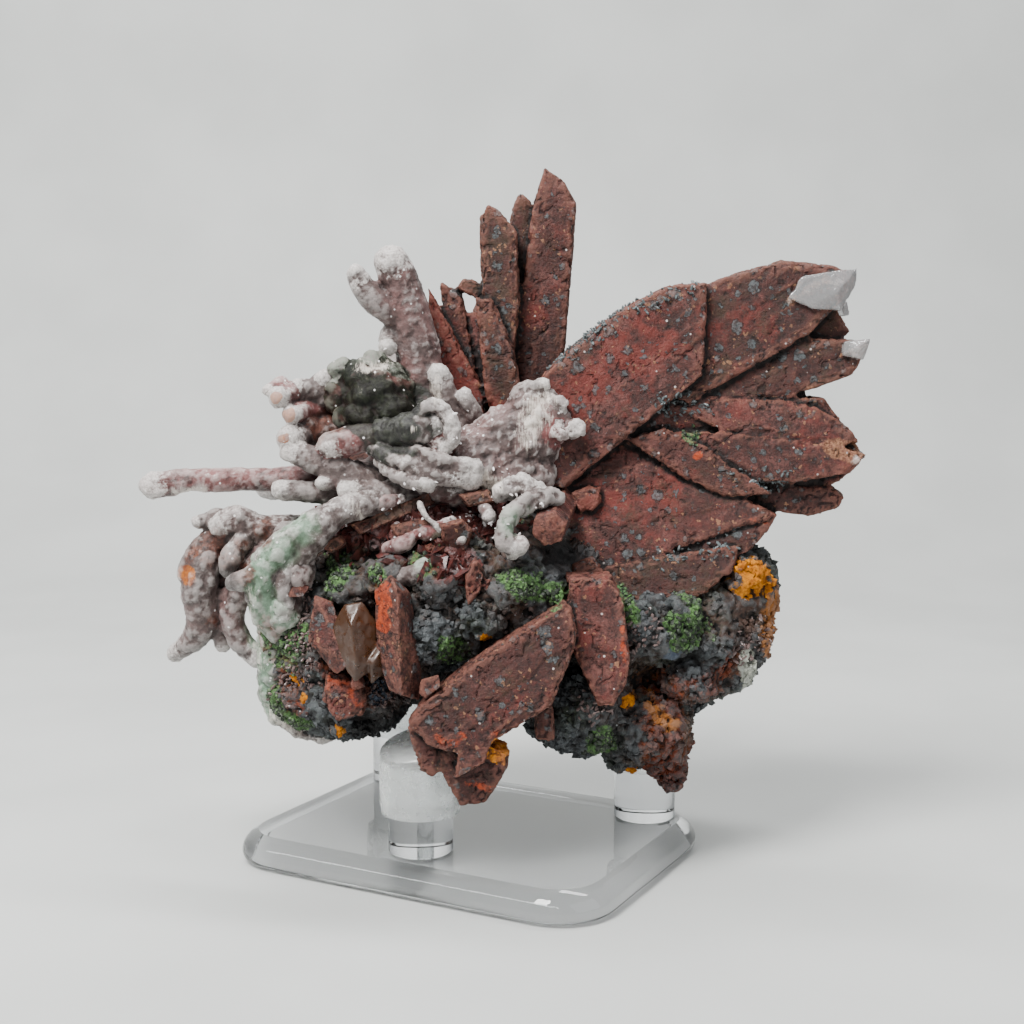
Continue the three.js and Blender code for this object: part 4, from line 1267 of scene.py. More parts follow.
LOWER_LEFT: tuple[Block, ...] = (
    Block(((-14.2, -27.5, 62.3), (-17.2, -26, 59), (-12.5, -31.5, 60), (-10.4, -26, 58.6), (-16.8, -27, 47),
           (-14.5, -28, 40.5), (-12.2, -32.5, 50), (-11.8, -32.5, 40.5), (-8.5, -27, 44.4), (-8.8, -27, 38.3),
           (-14, -18, 60), (-15, -18, 41), (-9, -18, 41)), -0.1),
    Block(((-28.8, -22.5, 57.5), (-25.3, -22, 56), (-24.7, -24, 49), (-22, -27, 45), (-24.5, -25, 42.5),
           (-30.2, -23.5, 49), (-29, -22.5, 54.5), (-27, -14, 55), (-24, -14, 44), (-30, -14, 47)), 0.3),
    Block(((-32.8, -19, 61.6), (-34.5, -20, 58.4), (-33.8, -21.5, 56.8), (-30.9, -21.5, 56.8), (-30, -19.5, 58.4),
           (-32.3, -13, 58)), 0.1),
    Block(((-41.3, -14, 49.2), (-38.3, -16, 50), (-37.8, -16, 46), (-40.2, -15, 44.8), (-38, -10, 48)), -0.5),
    Block(((-8.4, -31.5, 43.3), (-5, -32, 44.4), (-4.6, -32, 42), (-7.6, -31.5, 39.7), (-8.9, -31, 40.5),
           (-6, -24, 42)), 0.2),
)

CLEAR_TIPS: tuple[Block, ...] = (
    Block(((62, -6.2, 113.4), (64.6, -6.6, 117.6), (71, -7, 118.6), (75.7, -5.8, 119.2), (75.8, -4.8, 116),
           (72.6, -6.2, 110.8), (66.6, -6.4, 111.2), (71.5, -7.8, 114.5), (68, 0, 113), (75, 0, 118), (72, 0, 112))),
    Block(((73.2, -6, 102.2), (73.4, -6, 105), (79.2, -4.2, 105.6), (77.8, -4.2, 101.2), (75.8, -6.8, 103.6),
           (73, 1, 102), (78, 1, 105))),
    Block(((72.9, -3, 112.6), (74.4, -4, 112.8), (75.2, -3, 110), (73.9, -4, 109.8), (72.5, 3, 110), (73, 3, 113))),
    Block(((75.8, -4.6, 84.3), (78.4, -4, 83.2), (77.6, -4, 81), (76, -5, 81.6), (75, 1, 83))),
)
SMOKY: tuple[Block, ...] = (
    Block(((-23, -25.5, 56.3), (-19.5, -26, 57), (-25.3, -24.5, 52), (-16.8, -26, 53), (-21.3, -29, 53),
           (-20.4, -29.4, 46), (-24.6, -25, 46.5), (-16.6, -27, 45), (-21, -27, 41.5), (-23, -18, 52),
           (-18, -18, 50))),
    Block(((-19.5, -26, 48), (-14.5, -27, 49.5), (-13.6, -26, 44.5), (-17.6, -29, 45.5), (-18, -26, 41),
           (-16, -20, 46), (-20, -22, 44))),
)
STUB = Prism((19, -2, 74), (15, -25, 70), 7, 7, 1, 0.4)
BROKEN: tuple[Slab, ...] = (
    Slab(((-5.5, 71), (-1, 72), (1.2, 69.5), (0, 65.5), (-2, 63), (-4.4, 66)), -22, 4, (0.1, -0.3), -0.2, 0.6),
    Slab(((-23, 70), (-15, 73), (-7, 76.5), (-6.5, 74), (-14, 70.5), (-21, 68)), -15.5, 5, (0, 0.4), -0.8, 0.6),
    Slab(((-15, 70), (-9, 71.5), (-6, 70.5), (-9, 68.5), (-14, 68)), -19.5, 4, (-0.2, 0.3), -0.5, 0.6),
    Slab(((-2, 76), (4, 77), (5.5, 74.5), (0, 73.5)), -18, 4, (0.2, 0.3), -0.8, 0.6),
    Slab(((-29, 66), (-24.5, 68.5), (-23, 66.5), (-26, 64.5)), -18, 4, (0.2, 0.3), -0.5, 0.6),
)
SPLINTER = Prism((2, -20, 57), (4, -27, 61), 3, 3, 2, 0.5)

REAR: tuple[Prism, ...] = (
    Prism((8, 14, 78), (2, 27, 120), 9, 8, 9, 0.1),
    Prism((18, 12, 80), (24, 27, 108), 10, 9, 10, -0.3),
    Prism((14, 8, 80), (13, 19, 127), 7, 7, 7, 0.2),
    Prism((-4, 12, 78), (-9, 28, 106), 8, 7, 7, 0.4),
    Prism((24, 14, 74), (38, 34, 104), 11, 9, 10, 0),
    Prism((30, 8, 84), (60, 16, 108), 13, 9, 10, -0.2),
    Prism((30, 8, 78), (69, 14, 93), 12, 9, 9, 0.2),
    Prism((28, 14, 70), (62, 28, 84), 12, 10, 10, -0.1),
    Prism((30, 10, 66), (66, 18, 70), 10, 8, 8, 0.1),
    Prism((20, 20, 66), (44, 42, 78), 11, 10, 10, -0.3),
    Prism((0, 18, 70), (-4, 42, 88), 10, 9, 9, 0),
    Prism((-14, 16, 66), (-30, 34, 82), 9, 8, 8, 0.3),
    Prism((-8, 20, 60), (-18, 43, 66), 9, 9, 8, -0.1),
    Prism((14, 22, 56), (22, 44, 60), 10, 9, 9, 0.2),
    Prism((44, 8, 54), (60, 26, 60), 9, 8, 7, -0.2),
)


@dataclass
class CrystalGroup:
    """Crystals of one group, grown into one skin, with the attributes that their finish reads."""

    name: str
    crystals: Sequence[Slab | Prism | Block]
    finish: Material
    voxel: float
    surface: dict[str, float]
    patches: Sequence[Patch] = PATCHES
    stretch: float = 0.16
    cleft: float = 1.0
    crease: float = 0.12
    apart: float = 31.0

    def build(self, skin: SkinTree) -> Thing:
        """Makes the group's skin.

        Args:
            skin: the tree that roughens it.

        Returns:
            The finished object.
        """
        solids = [crystal.solid() for crystal in self.crystals]
        thing = fused(mesh_of(self.name, [solid.shape() for solid in solids]), self.voxel)
        self.mark(thing.data, solids)
        stain(thing.data, self.patches)
        skin.apply(thing, self.surface, self.finish)
        return thing

    def mark(self, mesh: Mesh, solids: Sequence[Solid]) -> None:
        """Stores tone, edge, crevice and the direction of growth for each vertex.

        Args:
            mesh: the fused skin.
            solids: the crystals it is made of.
        """
        places = coordinates(mesh)
        pairs = [solid.distances(places) for solid in solids]
        outside = np.stack([pair[0] for pair in pairs])
        order = np.argsort(np.abs(outside), axis=0)
        owner = order[0]
        rows = np.arange(len(places))
        second = np.abs(outside[order[1], rows]) if len(solids) > 1 else np.full(len(places), np.inf)
        edge = outside[owner, rows] - np.stack([pair[1] for pair in pairs])[owner, rows]
        paint(mesh, "tone", np.array([solid.tone for solid in solids])[owner])
        paint(mesh, "edge", edge)
        # crevice: clefts where two crystals meet, which the skin sinks and the blades' finish darkens as painted
        # shade
        near = np.exp(-((second / self.cleft) ** 2))
        paint(mesh, "crevice", near * np.clip(cavity(mesh, 3) / self.crease - 0.2, 0.0, 1.0))
        layer = mesh.attributes.new("grain", "FLOAT_VECTOR", "POINT")
        layer.data.foreach_set("vector", self.growth(places, solids, owner).astype(np.float32).ravel())

    def growth(self, places: np.ndarray, solids: Sequence[Solid], owner: np.ndarray) -> np.ndarray:
        """Places in each crystal's own axes, squeezed along its length.

        Args:
            places: the places, in millimetres.
            solids: the crystals.
            owner: which crystal each place belongs to.

        Returns:
            The places, in millimetres, with each crystal's own apart from the others'.
        """
        found = np.zeros_like(places, float)
        for index, solid in enumerate(solids):
            axis = Vector(solid.axis).normalized()
            side = axis.cross(Vector((0.1, 1.0, 0.2))).normalized()
            axes = np.array([axis * self.stretch, side, axis.cross(side)])
            mine = owner == index
            found[mine] = places[mine] @ axes.T + self.apart * index
        return found


# ---- silica and ironstone


LEFT_FINGERS: tuple[Finger, ...] = (
    Finger(((-20, -3, 78, 3.2), (-38, -7, 78, 2.4), (-50, -9, 78, 2.3), (-55, -10, 78, 2.3), (-61.5, -10, 77, 2.7)),
           0.6, 0.35, 0.25),
    Finger(((-18, -8, 75, 3), (-31, -12, 76, 2.2), (-36, -13, 76.5, 2)), 0.1, 0.4, 0.2),
    Finger(((-10, -10, 74, 3.5), (-16, -13, 75.5, 2.4), (-23, -15, 76.5, 2)), 0.1, 0.3, 0.2),
    Finger(((-16, -7, 77, 3), (-22, -12, 79, 2.8), (-29, -13, 82, 2.7), (-34, -13, 84, 2.3)), 0.1, 0.3, 0.3),
    Finger(((-14, -8, 86, 3.2), (-19, -12, 86.5, 2.9), (-26.5, -14, 85, 2.7)), 1, 0.35, 0.4),
    Finger(((-23, -2, 93, 3.5), (-29, -6, 95, 2.6), (-33.5, -8, 95.6, 2)), 0, 0.3, 0.6),
    Finger(((-28, -3, 94.5, 2.5), (-34, -8, 95, 2.1), (-36.5, -12.5, 94.3, 2)), 0.5, 0.6, 0.2),
    Finger(((-28, -3, 92, 2.5), (-32, -8, 91.5, 2), (-34, -12.5, 91, 1.8)), 0.6, 0.5, 0.2),
    Finger(((-24, -3, 88, 4), (-31, -8, 87, 2.6), (-34.5, -13, 86.6, 2.4)), 0, 0.6, 0.3),
    Finger(((-36.5, -9, 97, 1.3), (-38.5, -11, 95.6, 1.2)), 0.6, 0.5, 0.2),
    Finger(((-30, -4, 89.5, 1.8), (-31, -9, 88.8, 1.6)), 0.9, 0.1, 0.2),
    Finger(((-22, -10, 80, 2), (-24, -13, 78.5, 1.6), (-28, -15, 78, 1.3)), 0.3, 0.4, 0.2),
    Finger(((-30, -5, 96, 2), (-28.5, -7, 97.6, 1.8)), 0, 0.4, 0.6),
)
TRUNK: tuple[Finger, ...] = (
    Finger(((-6, -2, 82, 5.8), (-8.5, -2, 92, 4.9), (-10, -2, 101, 4.5), (-11.5, -2.5, 109, 4.2),
            (-13.5, -3, 116, 4), (-15, -4, 120, 3.7)), 0.35, 0.1, 0.8),
    Finger(((-13.5, -3, 109, 2.2), (-18, -5, 112.5, 2.6), (-21, -6, 116.3, 2.3)), 0.3, 0.1, 0.4),
    Finger(((-21.4, -6, 116.8, 2), (-22, -6.4, 118.2, 1.7)), 0, 0.9, 0),
    Finger(((-15.5, -3, 106, 2.2), (-16, -5, 104, 1.8)), 0.1, 0.7, 0),
    Finger(((0, -3, 84, 3.2), (-4, -5, 93, 2.6), (-6, -6, 98.5, 2.2)), 0.1, 0.5, 0.5),
    Finger(((2, -4, 88, 2), (0, -6, 92, 1.8), (-1, -7, 94.5, 1.5)), 0.2, 0.7, 0.4),
)
HANGING: tuple[Finger, ...] = (
    Finger(((-14, -10, 75, 3.4), (-21, -16, 74, 2.8), (-27, -18, 71.5, 2.8), (-33, -19, 68, 2.8),
            (-37.5, -19.5, 63.5, 2.9), (-39.5, -18.5, 58, 3), (-38.5, -17, 52.5, 2.8), (-37, -16, 48.5, 1.8)),
           0, 0.7, 0.7),
    Finger(((-33, -19.5, 64, 1.6), (-35, -20, 59, 1.7), (-34.4, -19.5, 54.5, 1.2)), 0, 0.7, 0.7),
    Finger(((-38, -20, 62, 1.7), (-42.5, -20, 60, 1.9), (-44.5, -19.5, 59.4, 1.6)), 0, 0.9, 0.4),
    Finger(((-27, -18, 71, 3), (-32, -18, 65, 3), (-36, -18, 60, 3)), 0, 0.7, 0.5),
    Finger(((-34, -8, 67, 4), (-41, -10, 68, 3.4), (-45, -12, 70.5, 2.8), (-48, -12, 69.5, 2.4)), 0.2, 0.7, 0.6),
    Finger(((-44, -10, 67, 3), (-49, -10, 66.5, 3), (-53, -11, 63, 2.8), (-54.5, -11.5, 60, 2.4)), 0.1, 0.3, 0.6),
    Finger(((-51, -12, 63, 2.8), (-52.5, -12, 57, 3.6), (-52.5, -11, 51, 3.2), (-54, -10, 47, 2.6),
            (-58.5, -8, 43.2, 1.6)), 0.2, 0.35, 0.5),
    Finger(((-38, -10, 65, 3.5), (-43, -12, 60, 2.8), (-46, -12, 53, 2.5), (-45.5, -11, 47.5, 2.2),
            (-42, -10, 43, 2.2)), 0.3, 0.45, 0.6),
    Finger(((-47, -11, 55, 2.4), (-49.5, -9, 49, 1.9), (-49, -8, 45, 1.6)), 0.3, 0.2, 0.3),
    Finger(((-42, -10, 62, 3), (-47, -8, 60, 2.4), (-50, -8, 57, 2.2)), 0.4, 0.1, 0.3),
    Finger(((-44, -13, 66.5, 2), (-46, -15, 63.5, 2), (-46.5, -15, 61, 1.6)), 0, 0.8, 0.4),
    Finger(((-49, -11, 71, 1.8), (-52.5, -11, 70, 1.5)), 0.1, 0.5, 0.3),
)
CRUST: tuple[Finger, ...] = (
    Finger(((-16, -12, 87, 3), (-10.5, -15, 88.5, 3.2), (-7, -15, 89, 2.6)), 0.1, 0.6, 0.5),
    Finger(((-9.5, -15, 90, 1.2), (-8, -17, 92.5, 1.2), (-5.5, -17, 92.8, 1.2), (-3.3, -17, 90, 1.2),
            (-2.8, -17, 86.5, 1.2), (-4.5, -16, 84.5, 1.1)), 0, 0.9, 0.2),
    Finger(((-6, -13, 91, 2.4), (-5.5, -14, 86, 2.6)), 0.8, 0, 0.1),
    Finger(((-18.5, -14, 84.5, 1.2), (-13, -16.5, 82.7, 1.8), (-7, -16.5, 80.5, 2.2), (0, -15, 79, 2.4)),
           0, 0.6, 0.9),
    Finger(((-17, -14, 82, 1), (-13, -17, 79.5, 1.2), (-8, -17.5, 78, 1.5)), 0, 0.5, 0.6),
    Finger(((-14, -14, 84, 1), (-9, -17, 84, 1.2), (-4, -17, 82, 1.4), (1, -16, 81, 1.4)), 0.2, 0.6, 0.6),
    Finger(((16.5, -19, 75.6, 1.6), (12, -22, 75.3, 1.7), (8.6, -24, 73.3, 1.6), (7.2, -25, 70.5, 1.6),
            (7, -25, 68.3, 1.9), (9, -24.5, 66.8, 2)), 0, 0.1, 1.2),
    Finger(((9.2, -24.6, 67.4, 1.5), (10, -25.6, 67.6, 1.2)), 1, 0, 0.4),
    Finger(((6.5, -19, 76.5, 1.8), (10, -20, 78, 2), (13, -20, 77, 1.6)), 0, 0.9, 0.8),
    Finger(((20.3, -11.5, 88.2, 1.7), (20.6, -12.5, 88.3, 1.6)), 0.3, 0.4, 0),
    Finger(((17, -11.5, 87.3, 1.9), (17.4, -12.3, 87.5, 1.7)), 0.9, 0, 0.2),
    Finger(((12.5, -11, 96.3, 1), (14.5, -11, 96.8, 1)), 0, 0.6, 0.6),
    Finger(((17.4, -11, 94, 1.1), (18.2, -11, 93, 0.9)), 0, 0.6, 0.6),
)
MIDDLE_CRUST: tuple[Finger, ...] = (
    Finger(((-15.5, -18.5, 65.8, 1), (-12, -20, 67, 1.5), (-9.5, -19.5, 68.6, 0.9), (-7, -20, 69, 1.6),
            (-3, -18, 71, 0.8)), 0.9, 0.2, 1.9),
    Finger(((-22, -12, 74.3, 1), (-18, -15, 74, 1.5), (-13, -14.5, 75, 1)), 0.9, 0.1, 1.9),
    Finger(((-9, -19, 74.5, 0.6), (-7.6, -21, 72, 0.6), (-5, -21, 69.8, 0.6)), 0, 0.9, 0.2),
    Finger(((3, -17, 73.5, 1.2), (4, -18.5, 72, 1.5)), 0.3, 0.1, 1.9),
    Finger(((-2.5, -20, 67, 1.2), (-1, -21.5, 68, 0.8)), 1, 0.1, 1.9),
    Finger(((-13.5, -22.5, 60.5, 2), (-9.5, -24, 62, 1.8), (-8, -24, 63.4, 1.3)), 0, 0.1, 1.5),
)
EDGE_CRUST: tuple[Finger, ...] = (
    Finger(((-35, -12, 66, 4), (-38, -14, 57, 4), (-38.5, -12, 50, 3)), 0, 0.4, 0.7),
    Finger(((-37, -16, 62, 2.4), (-37, -17, 57, 2.8), (-36, -17, 53, 2.4)), 0, 0.4, 0.6),
    Finger(((-39, -11, 47, 2.4), (-38.8, -10, 40, 3), (-38, -10, 34, 3), (-34, -10, 29.5, 2.4),
            (-29, -9, 27.5, 2)), 0, 0.5, 0.7),
)
EDGE_KNOBS = lumps(
    (-38, -13.5, 59.5, 4.4, 7, 6.5), (-35.5, -15.5, 54, 4, 5, 5.5), (-33.5, -17, 61, 4, 4, 4),
    (-38.5, -10, 43, 3.2, 5, 7), (-36.5, -9, 33, 3.5, 5, 4),
)
REAR_FINGERS: tuple[Finger, ...] = (
    Finger(((-16, 8, 84, 5), (-26, 16, 90, 3.5), (-33, 22, 93, 3))),
    Finger(((-20, 8, 76, 5), (-34, 16, 76, 3.4), (-44, 22, 74, 3))),
    Finger(((-18, 12, 70, 5), (-32, 26, 66, 3.6), (-38, 33, 64, 3))),
    Finger(((-12, 12, 84, 5), (-16, 24, 98, 3.6), (-17, 29, 104, 3))),
)
MOSS_KNOBS = lumps(
    (-18.5, -4, 93.5, 8, 8.5, 8), (-20.5, -6, 97.5, 5, 5, 4.2), (-25.5, -5, 94.5, 4, 5, 4),
    (-14.5, -8, 91, 4, 5, 4.5), (-21, -9, 90, 5, 4, 3.5),
)
MOSS_FINGERS: tuple[Finger, ...] = (
    Finger(((-22, -6, 98, 3), (-25, -7, 99.5, 2.4)), 0, 0.3, 0.6),
    Finger(((-16, -5, 98, 3.2), (-19, -6, 101, 2.4)), 0, 0.5, 0.6),
)
ROOT_KNOBS = lumps(
    (3, -8, 81.5, 10, 6.5, 7.5), (9, -9.5, 85.5, 8.5, 4.4, 7.5), (13.5, -9.5, 89.5, 6, 3.6, 6.5),
    (12, -9, 93, 4.5, 3.6, 4), (-4, -8, 78, 8, 7, 6), (8, -10, 79, 9, 4.6, 5),
)
ORE = lumps(
    (2, 4, 58, 32, 22, 20), (18, 4, 47, 30, 20, 18), (-19, 3, 52, 22, 20, 22), (-29, -6, 46, 11.5, 14, 17),
    (-25, -8, 35, 13, 13, 8), (-3, -17, 56, 13, 8, 12), (9, -15, 56, 12, 9, 10), (22, -10, 33, 12, 12, 9),
    (44, -3, 49, 14, 12, 10), (55, -2, 55, 6.8, 9, 9.5), (53, -3, 46, 8, 9, 8), (50, -4, 40, 8, 8, 5),
    (54.5, -8, 58.5, 4, 4, 3.6), (36, -12, 49, 9, 8, 7), (34, -7, 29.5, 10, 12, 8), (45, -3, 42, 11.5, 11, 9),
    (38, -7, 25, 6, 7, 6), (40.3, -7, 19.8, 2.8, 4, 4.8), (31, -6, 23, 4, 5, 4), (40.5, -15, 53, 4, 4, 3.6),
    (33.5, -17, 52, 3.6, 4, 3.6), (47, -12, 46, 5, 4, 4), (51, -8, 42, 4, 5, 4), (54, -7, 48, 4, 4, 5),
    (43, -12, 39, 5, 5, 4), (24, -17, 34, 5, 5, 4), (18, -18, 31, 4, 5, 3.5), (-22, -17, 58, 5, 5, 4),
    (-15, -20, 61, 4.5, 4.5, 3.5), (-5, -24, 60, 4.5, 4, 4), (2, -24, 54, 5, 4, 4), (8, -23, 58, 4.5, 4.5, 3.5),
    (-7, -24, 50, 4.5, 4, 5), (-34, -15, 36, 4, 4, 4), (-6, 2, 70, 22, 15, 9), (-10, -8, 67, 18, 8, 7),
    (-14, 24, 50, 22, 16, 20), (18, 24, 52, 24, 16, 20), (42, 14, 46, 16, 14, 14), (-17, 30, 38, 12, 12, 10),
    (36, 6, 34, 13, 12, 9),
)
PITS = lumps(
    (-19, -24, 31, 4.5, 9, 4), (17, -24, 64.5, 5, 9, 3.2), (18.5, -26, 42, 2.6, 9, 8), (-28, -24, 58.5, 2, 5, 2),
    (-11, -27, 58, 1.6, 4, 4), (30.5, -22, 56, 2, 6, 2.4), (48.5, -18, 50, 1.8, 5, 1.6), (38, -20, 43.5, 3, 6, 1.5),
    (3, -29, 49.5, 4, 4, 1.6), (-31, -22, 43.5, 2, 4, 1.6),
)


def press(mesh: Mesh, pits: Sequence[Lump]) -> None:
    """Presses pits into the display side: what lies inside a pit moves to its far wall.

    Args:
        mesh: the mesh.
        pits: the pits.
    """
    places = coordinates(mesh)
    for pit in pits:
        offset = (places - np.array(pit.at)) / np.array(pit.radii)
        room = 1.0 - offset[:, 0] ** 2 - offset[:, 2] ** 2
        inside = (room > 0) & (offset[:, 1] < np.sqrt(np.maximum(room, 0))) & (places[:, 1] < 0)
        places[inside, 1] = pit.at[1] + pit.radii[1] * np.sqrt(room[inside])
    mesh.vertices.foreach_set("co", (places * MM).astype(np.float32).ravel())
    mesh.update()


def ball_cloud(beads: Sequence[tuple[Sequence[float], float]]) -> Body:
    """Many balls in one body.

    Args:
        beads: the balls' middles and radii, in millimetres.

    Returns:
        The body, in metres.
    """
    one = ball(1.0, 2)
    corners = np.array([tuple(v.co) for v in one.verts]) / MM
    faces = np.array([[v.index for v in f.verts] for f in one.faces])
    one.free()
    middles = np.array([tuple(middle) for middle, _ in beads])
    radii = np.array([radius for _, radius in beads])
    places = middles[:, None, :] + corners[None] * radii[:, None, None]
    turns = faces[None] + (np.arange(len(beads)) * len(corners))[:, None, None]
    mesh = bpy.data.meshes.new("scratch")
    mesh.from_pydata((places.reshape(-1, 3) * MM).tolist(), [], turns.reshape(-1, 3).tolist())
    body = bmesh.new()
    body.from_mesh(mesh)
    bpy.data.meshes.remove(mesh)
    return body


@dataclass
class SilicaGrowth:
    """Fingers and knobs of pale silica, grown into one skin."""

    name: str
    fingers: Sequence[Finger]
    finish: Material
    surface: dict[str, float]
    knobs: Sequence[Lump] = ()
    voxel: float = 0.47
    pitch: float = 0.35
    reach: float = 1.2
    plain: float = 0.3
    at_once: int = 20000

    def build(self, skin: SkinTree) -> Thing:
        """Makes the growth's skin.

        Args:
            skin: the tree that roughens it.

        Returns:
            The finished object.
        """
        beads = [(*bead, finger) for finger in self.fingers for bead in finger.beads(self.pitch)]
        parts = [ball_cloud([bead[:2] for bead in beads]), *(knob.shape() for knob in self.knobs)]
        thing = fused(mesh_of(self.name, parts), self.voxel)
        stain(thing.data, PATCHES)
        self.mark(thing.data, beads)
        skin.apply(thing, self.surface, self.finish)
        return thing

    def mark(self, mesh: Mesh, beads: Sequence[tuple]) -> None:
        """Stores how rosy, how pale and how near a finger's end each vertex is.

        Args:
            mesh: the fused skin.
            beads: each ball's middle, radius, place along its finger, and the finger.
        """
        places = coordinates(mesh)
        middles = np.array([bead[0] for bead in beads])
        radii = np.array([bead[1] for bead in beads])
        nearest = np.empty(len(places), int)
        depth = np.empty(len(places))
        for start in range(0, len(places), self.at_once):
            part = slice(start, start + self.at_once)
            away = np.linalg.norm(places[part, None, :] - middles[None], axis=2) - radii
            nearest[part] = away.argmin(axis=1)
            depth[part] = away.min(axis=1)
        fingers = [bead[3] for bead in beads]
        for name, values, usual in (("rose", [finger.rosy for finger in fingers], self.plain),
                                    ("pale", [finger.pale for finger in fingers], self.plain),
                                    ("tip", [bead[2] for bead in beads], 0.0)):
            paint(mesh, name, np.where(depth < self.reach, np.array(values)[nearest], usual))


@dataclass
class OreMass:
    """The lump of cracked ironstone that everything grows on, with a seat for each cap of the stand."""

    finish: Material
    surface: dict[str, float]
    seats: Sequence["Post"]
    name: str = "ironstone"
    voxel: float = 0.58
    rubble_size: float = 2.5
    rubble_share: float = 0.3
    rubble_to: float = 20.0

    def build(self, skin: SkinTree) -> Thing:
        """Makes the mass.

        Args:
            skin: the tree that roughens it.

        Returns:
            The finished object.
        """
        thing = fused(mesh_of(self.name, [lump.shape() for lump in ORE]), self.voxel)
        press(thing.data, PITS)
        thing = fused(thing, self.voxel)
        stain(thing.data, PATCHES)
        skin.apply(thing, self.surface, self.finish)
        places = coordinates(thing.data)
        cover = np.clip(ripple(places, self.rubble_size, 2) + self.rubble_share, 0, 1)
        paint(thing.data, Stain.CRUST.value, cover * (places[:, 1] < self.rubble_to))
        clear_of_caps(thing.data, self.seats)
        return thing


# ---- the stand


@dataclass(frozen=True)
class Post:
    """One post: where it stands along and across the plate, and how high its cap starts."""

    name: str
    along: float
    across: float
    cap_base: float
    turn: float = math.radians(-28)

    def foot(self) -> tuple[float, float]:
        """Where the post's axis meets the plate, in the frame's X and Y."""
        cosine, sine = math.cos(self.turn), math.sin(self.turn)
        return self.along * cosine - self.across * sine, self.along * sine + self.across * cosine


POSTS: tuple[Post, ...] = (
    Post("front", 0, -20, 14),
    Post("back_right", 30, 20.5, 17),
    Post("back_left", -30, 20.5, 17),
)
CAP_RADIUS = 25.4 * 5 / 16
CAP_HEIGHT = 14.0
CAP_SLOPE = 0.25
SEAT_GAP = 0.3
LIFT_RATIO = 2.2
LIFT_LEAST = 1.0


def clear_of_caps(mesh: Mesh, posts: Sequence[Post]) -> None:
    """Moves vertices out of the room that the caps and rods take, upwards or sideways, whichever is nearer.

    Args:
        mesh: the mesh to change.
        posts: the posts whose room stays free.
    """
    places = coordinates(mesh).astype(float)
    for post in posts:
        x, y = post.foot()
        offset = places[:, :2] - (x, y)
        away = np.linalg.norm(offset, axis=1)
        rise = CAP_SLOPE * (offset[:, 0] + offset[:, 1]) * math.sqrt(0.5)
        top = post.cap_base + CAP_HEIGHT + SEAT_GAP + rise
        radius = CAP_RADIUS + SEAT_GAP
        inside = (away < radius) & (places[:, 2] < top)
        lift = inside & (top - places[:, 2] <= LIFT_RATIO * (radius - away) + LIFT_LEAST)
        push = inside & ~lift
        places[lift, 2] = top[lift]
        places[push, :2] = (x, y) + offset[push] * (radius / np.maximum(away[push], 0.1))[:, None]
    mesh.vertices.foreach_set("co", (places * MM).astype(np.float32).ravel())
    mesh.update()


def turned(profile: Sequence[tuple[float, float]], sides: int = 72) -> Body:
    """A body of revolution about the Z axis.

    Args:
        profile: radii and heights in millimetres, from the axis at the bottom, round the outside, to the axis.
        sides: the number of sides.

    Returns:
        The body, in metres.
    """
    body = bmesh.new()
    rings = []
    for radius, height in profile:
        if radius == 0:
            rings.append([body.verts.new((0, 0, height * MM))])
            continue
        angles = [2 * math.pi * k / sides for k in range(sides)]
        rings.append([body.verts.new((radius * MM * math.cos(a), radius * MM * math.sin(a), height * MM))
                      for a in angles])
    for low, high in zip(rings, rings[1:]):
        for k in range(sides):
            j = (k + 1) % sides
            loop = [low[k % len(low)], low[j % len(low)], high[j % len(high)], high[k % len(high)]]
            body.faces.new(list(dict.fromkeys(loop)))
    bmesh.ops.recalc_face_normals(body, faces=body.faces)
    return body


def arc(middle: tuple[float, float], radius: float, start: float, end: float, steps: int) -> list:
    """Points of an arc.

    Args:
        middle: its middle.
        radius: its radius.
        start: the angle of its first point, in degrees.
        end: the angle of its last point.
        steps: the parts between its points.

    Returns:
        The points.
    """
    angles = [math.radians(start + (end - start) * k / steps) for k in range(steps + 1)]
    return [(middle[0] + radius * math.cos(a), middle[1] + radius * math.sin(a)) for a in angles]


def finished(name: str, body: Body, material: Material, sharp: float) -> Thing:
    """Turns a body into an object with its material and with smooth faces that meet at hard edges.

    Args:
        name: the object's name.
        body: the body, which is used up.
        material: the finish.
        sharp: the angle in degrees past which an edge stays hard.

    Returns:
        The object.
    """
    mesh = bpy.data.meshes.new(name)
    body.to_mesh(mesh)
    body.free()
    mesh.materials.append(material)
    shade_smooth(mesh)
    mesh.set_sharp_from_angle(angle=math.radians(sharp))
    return object_of(name, mesh)


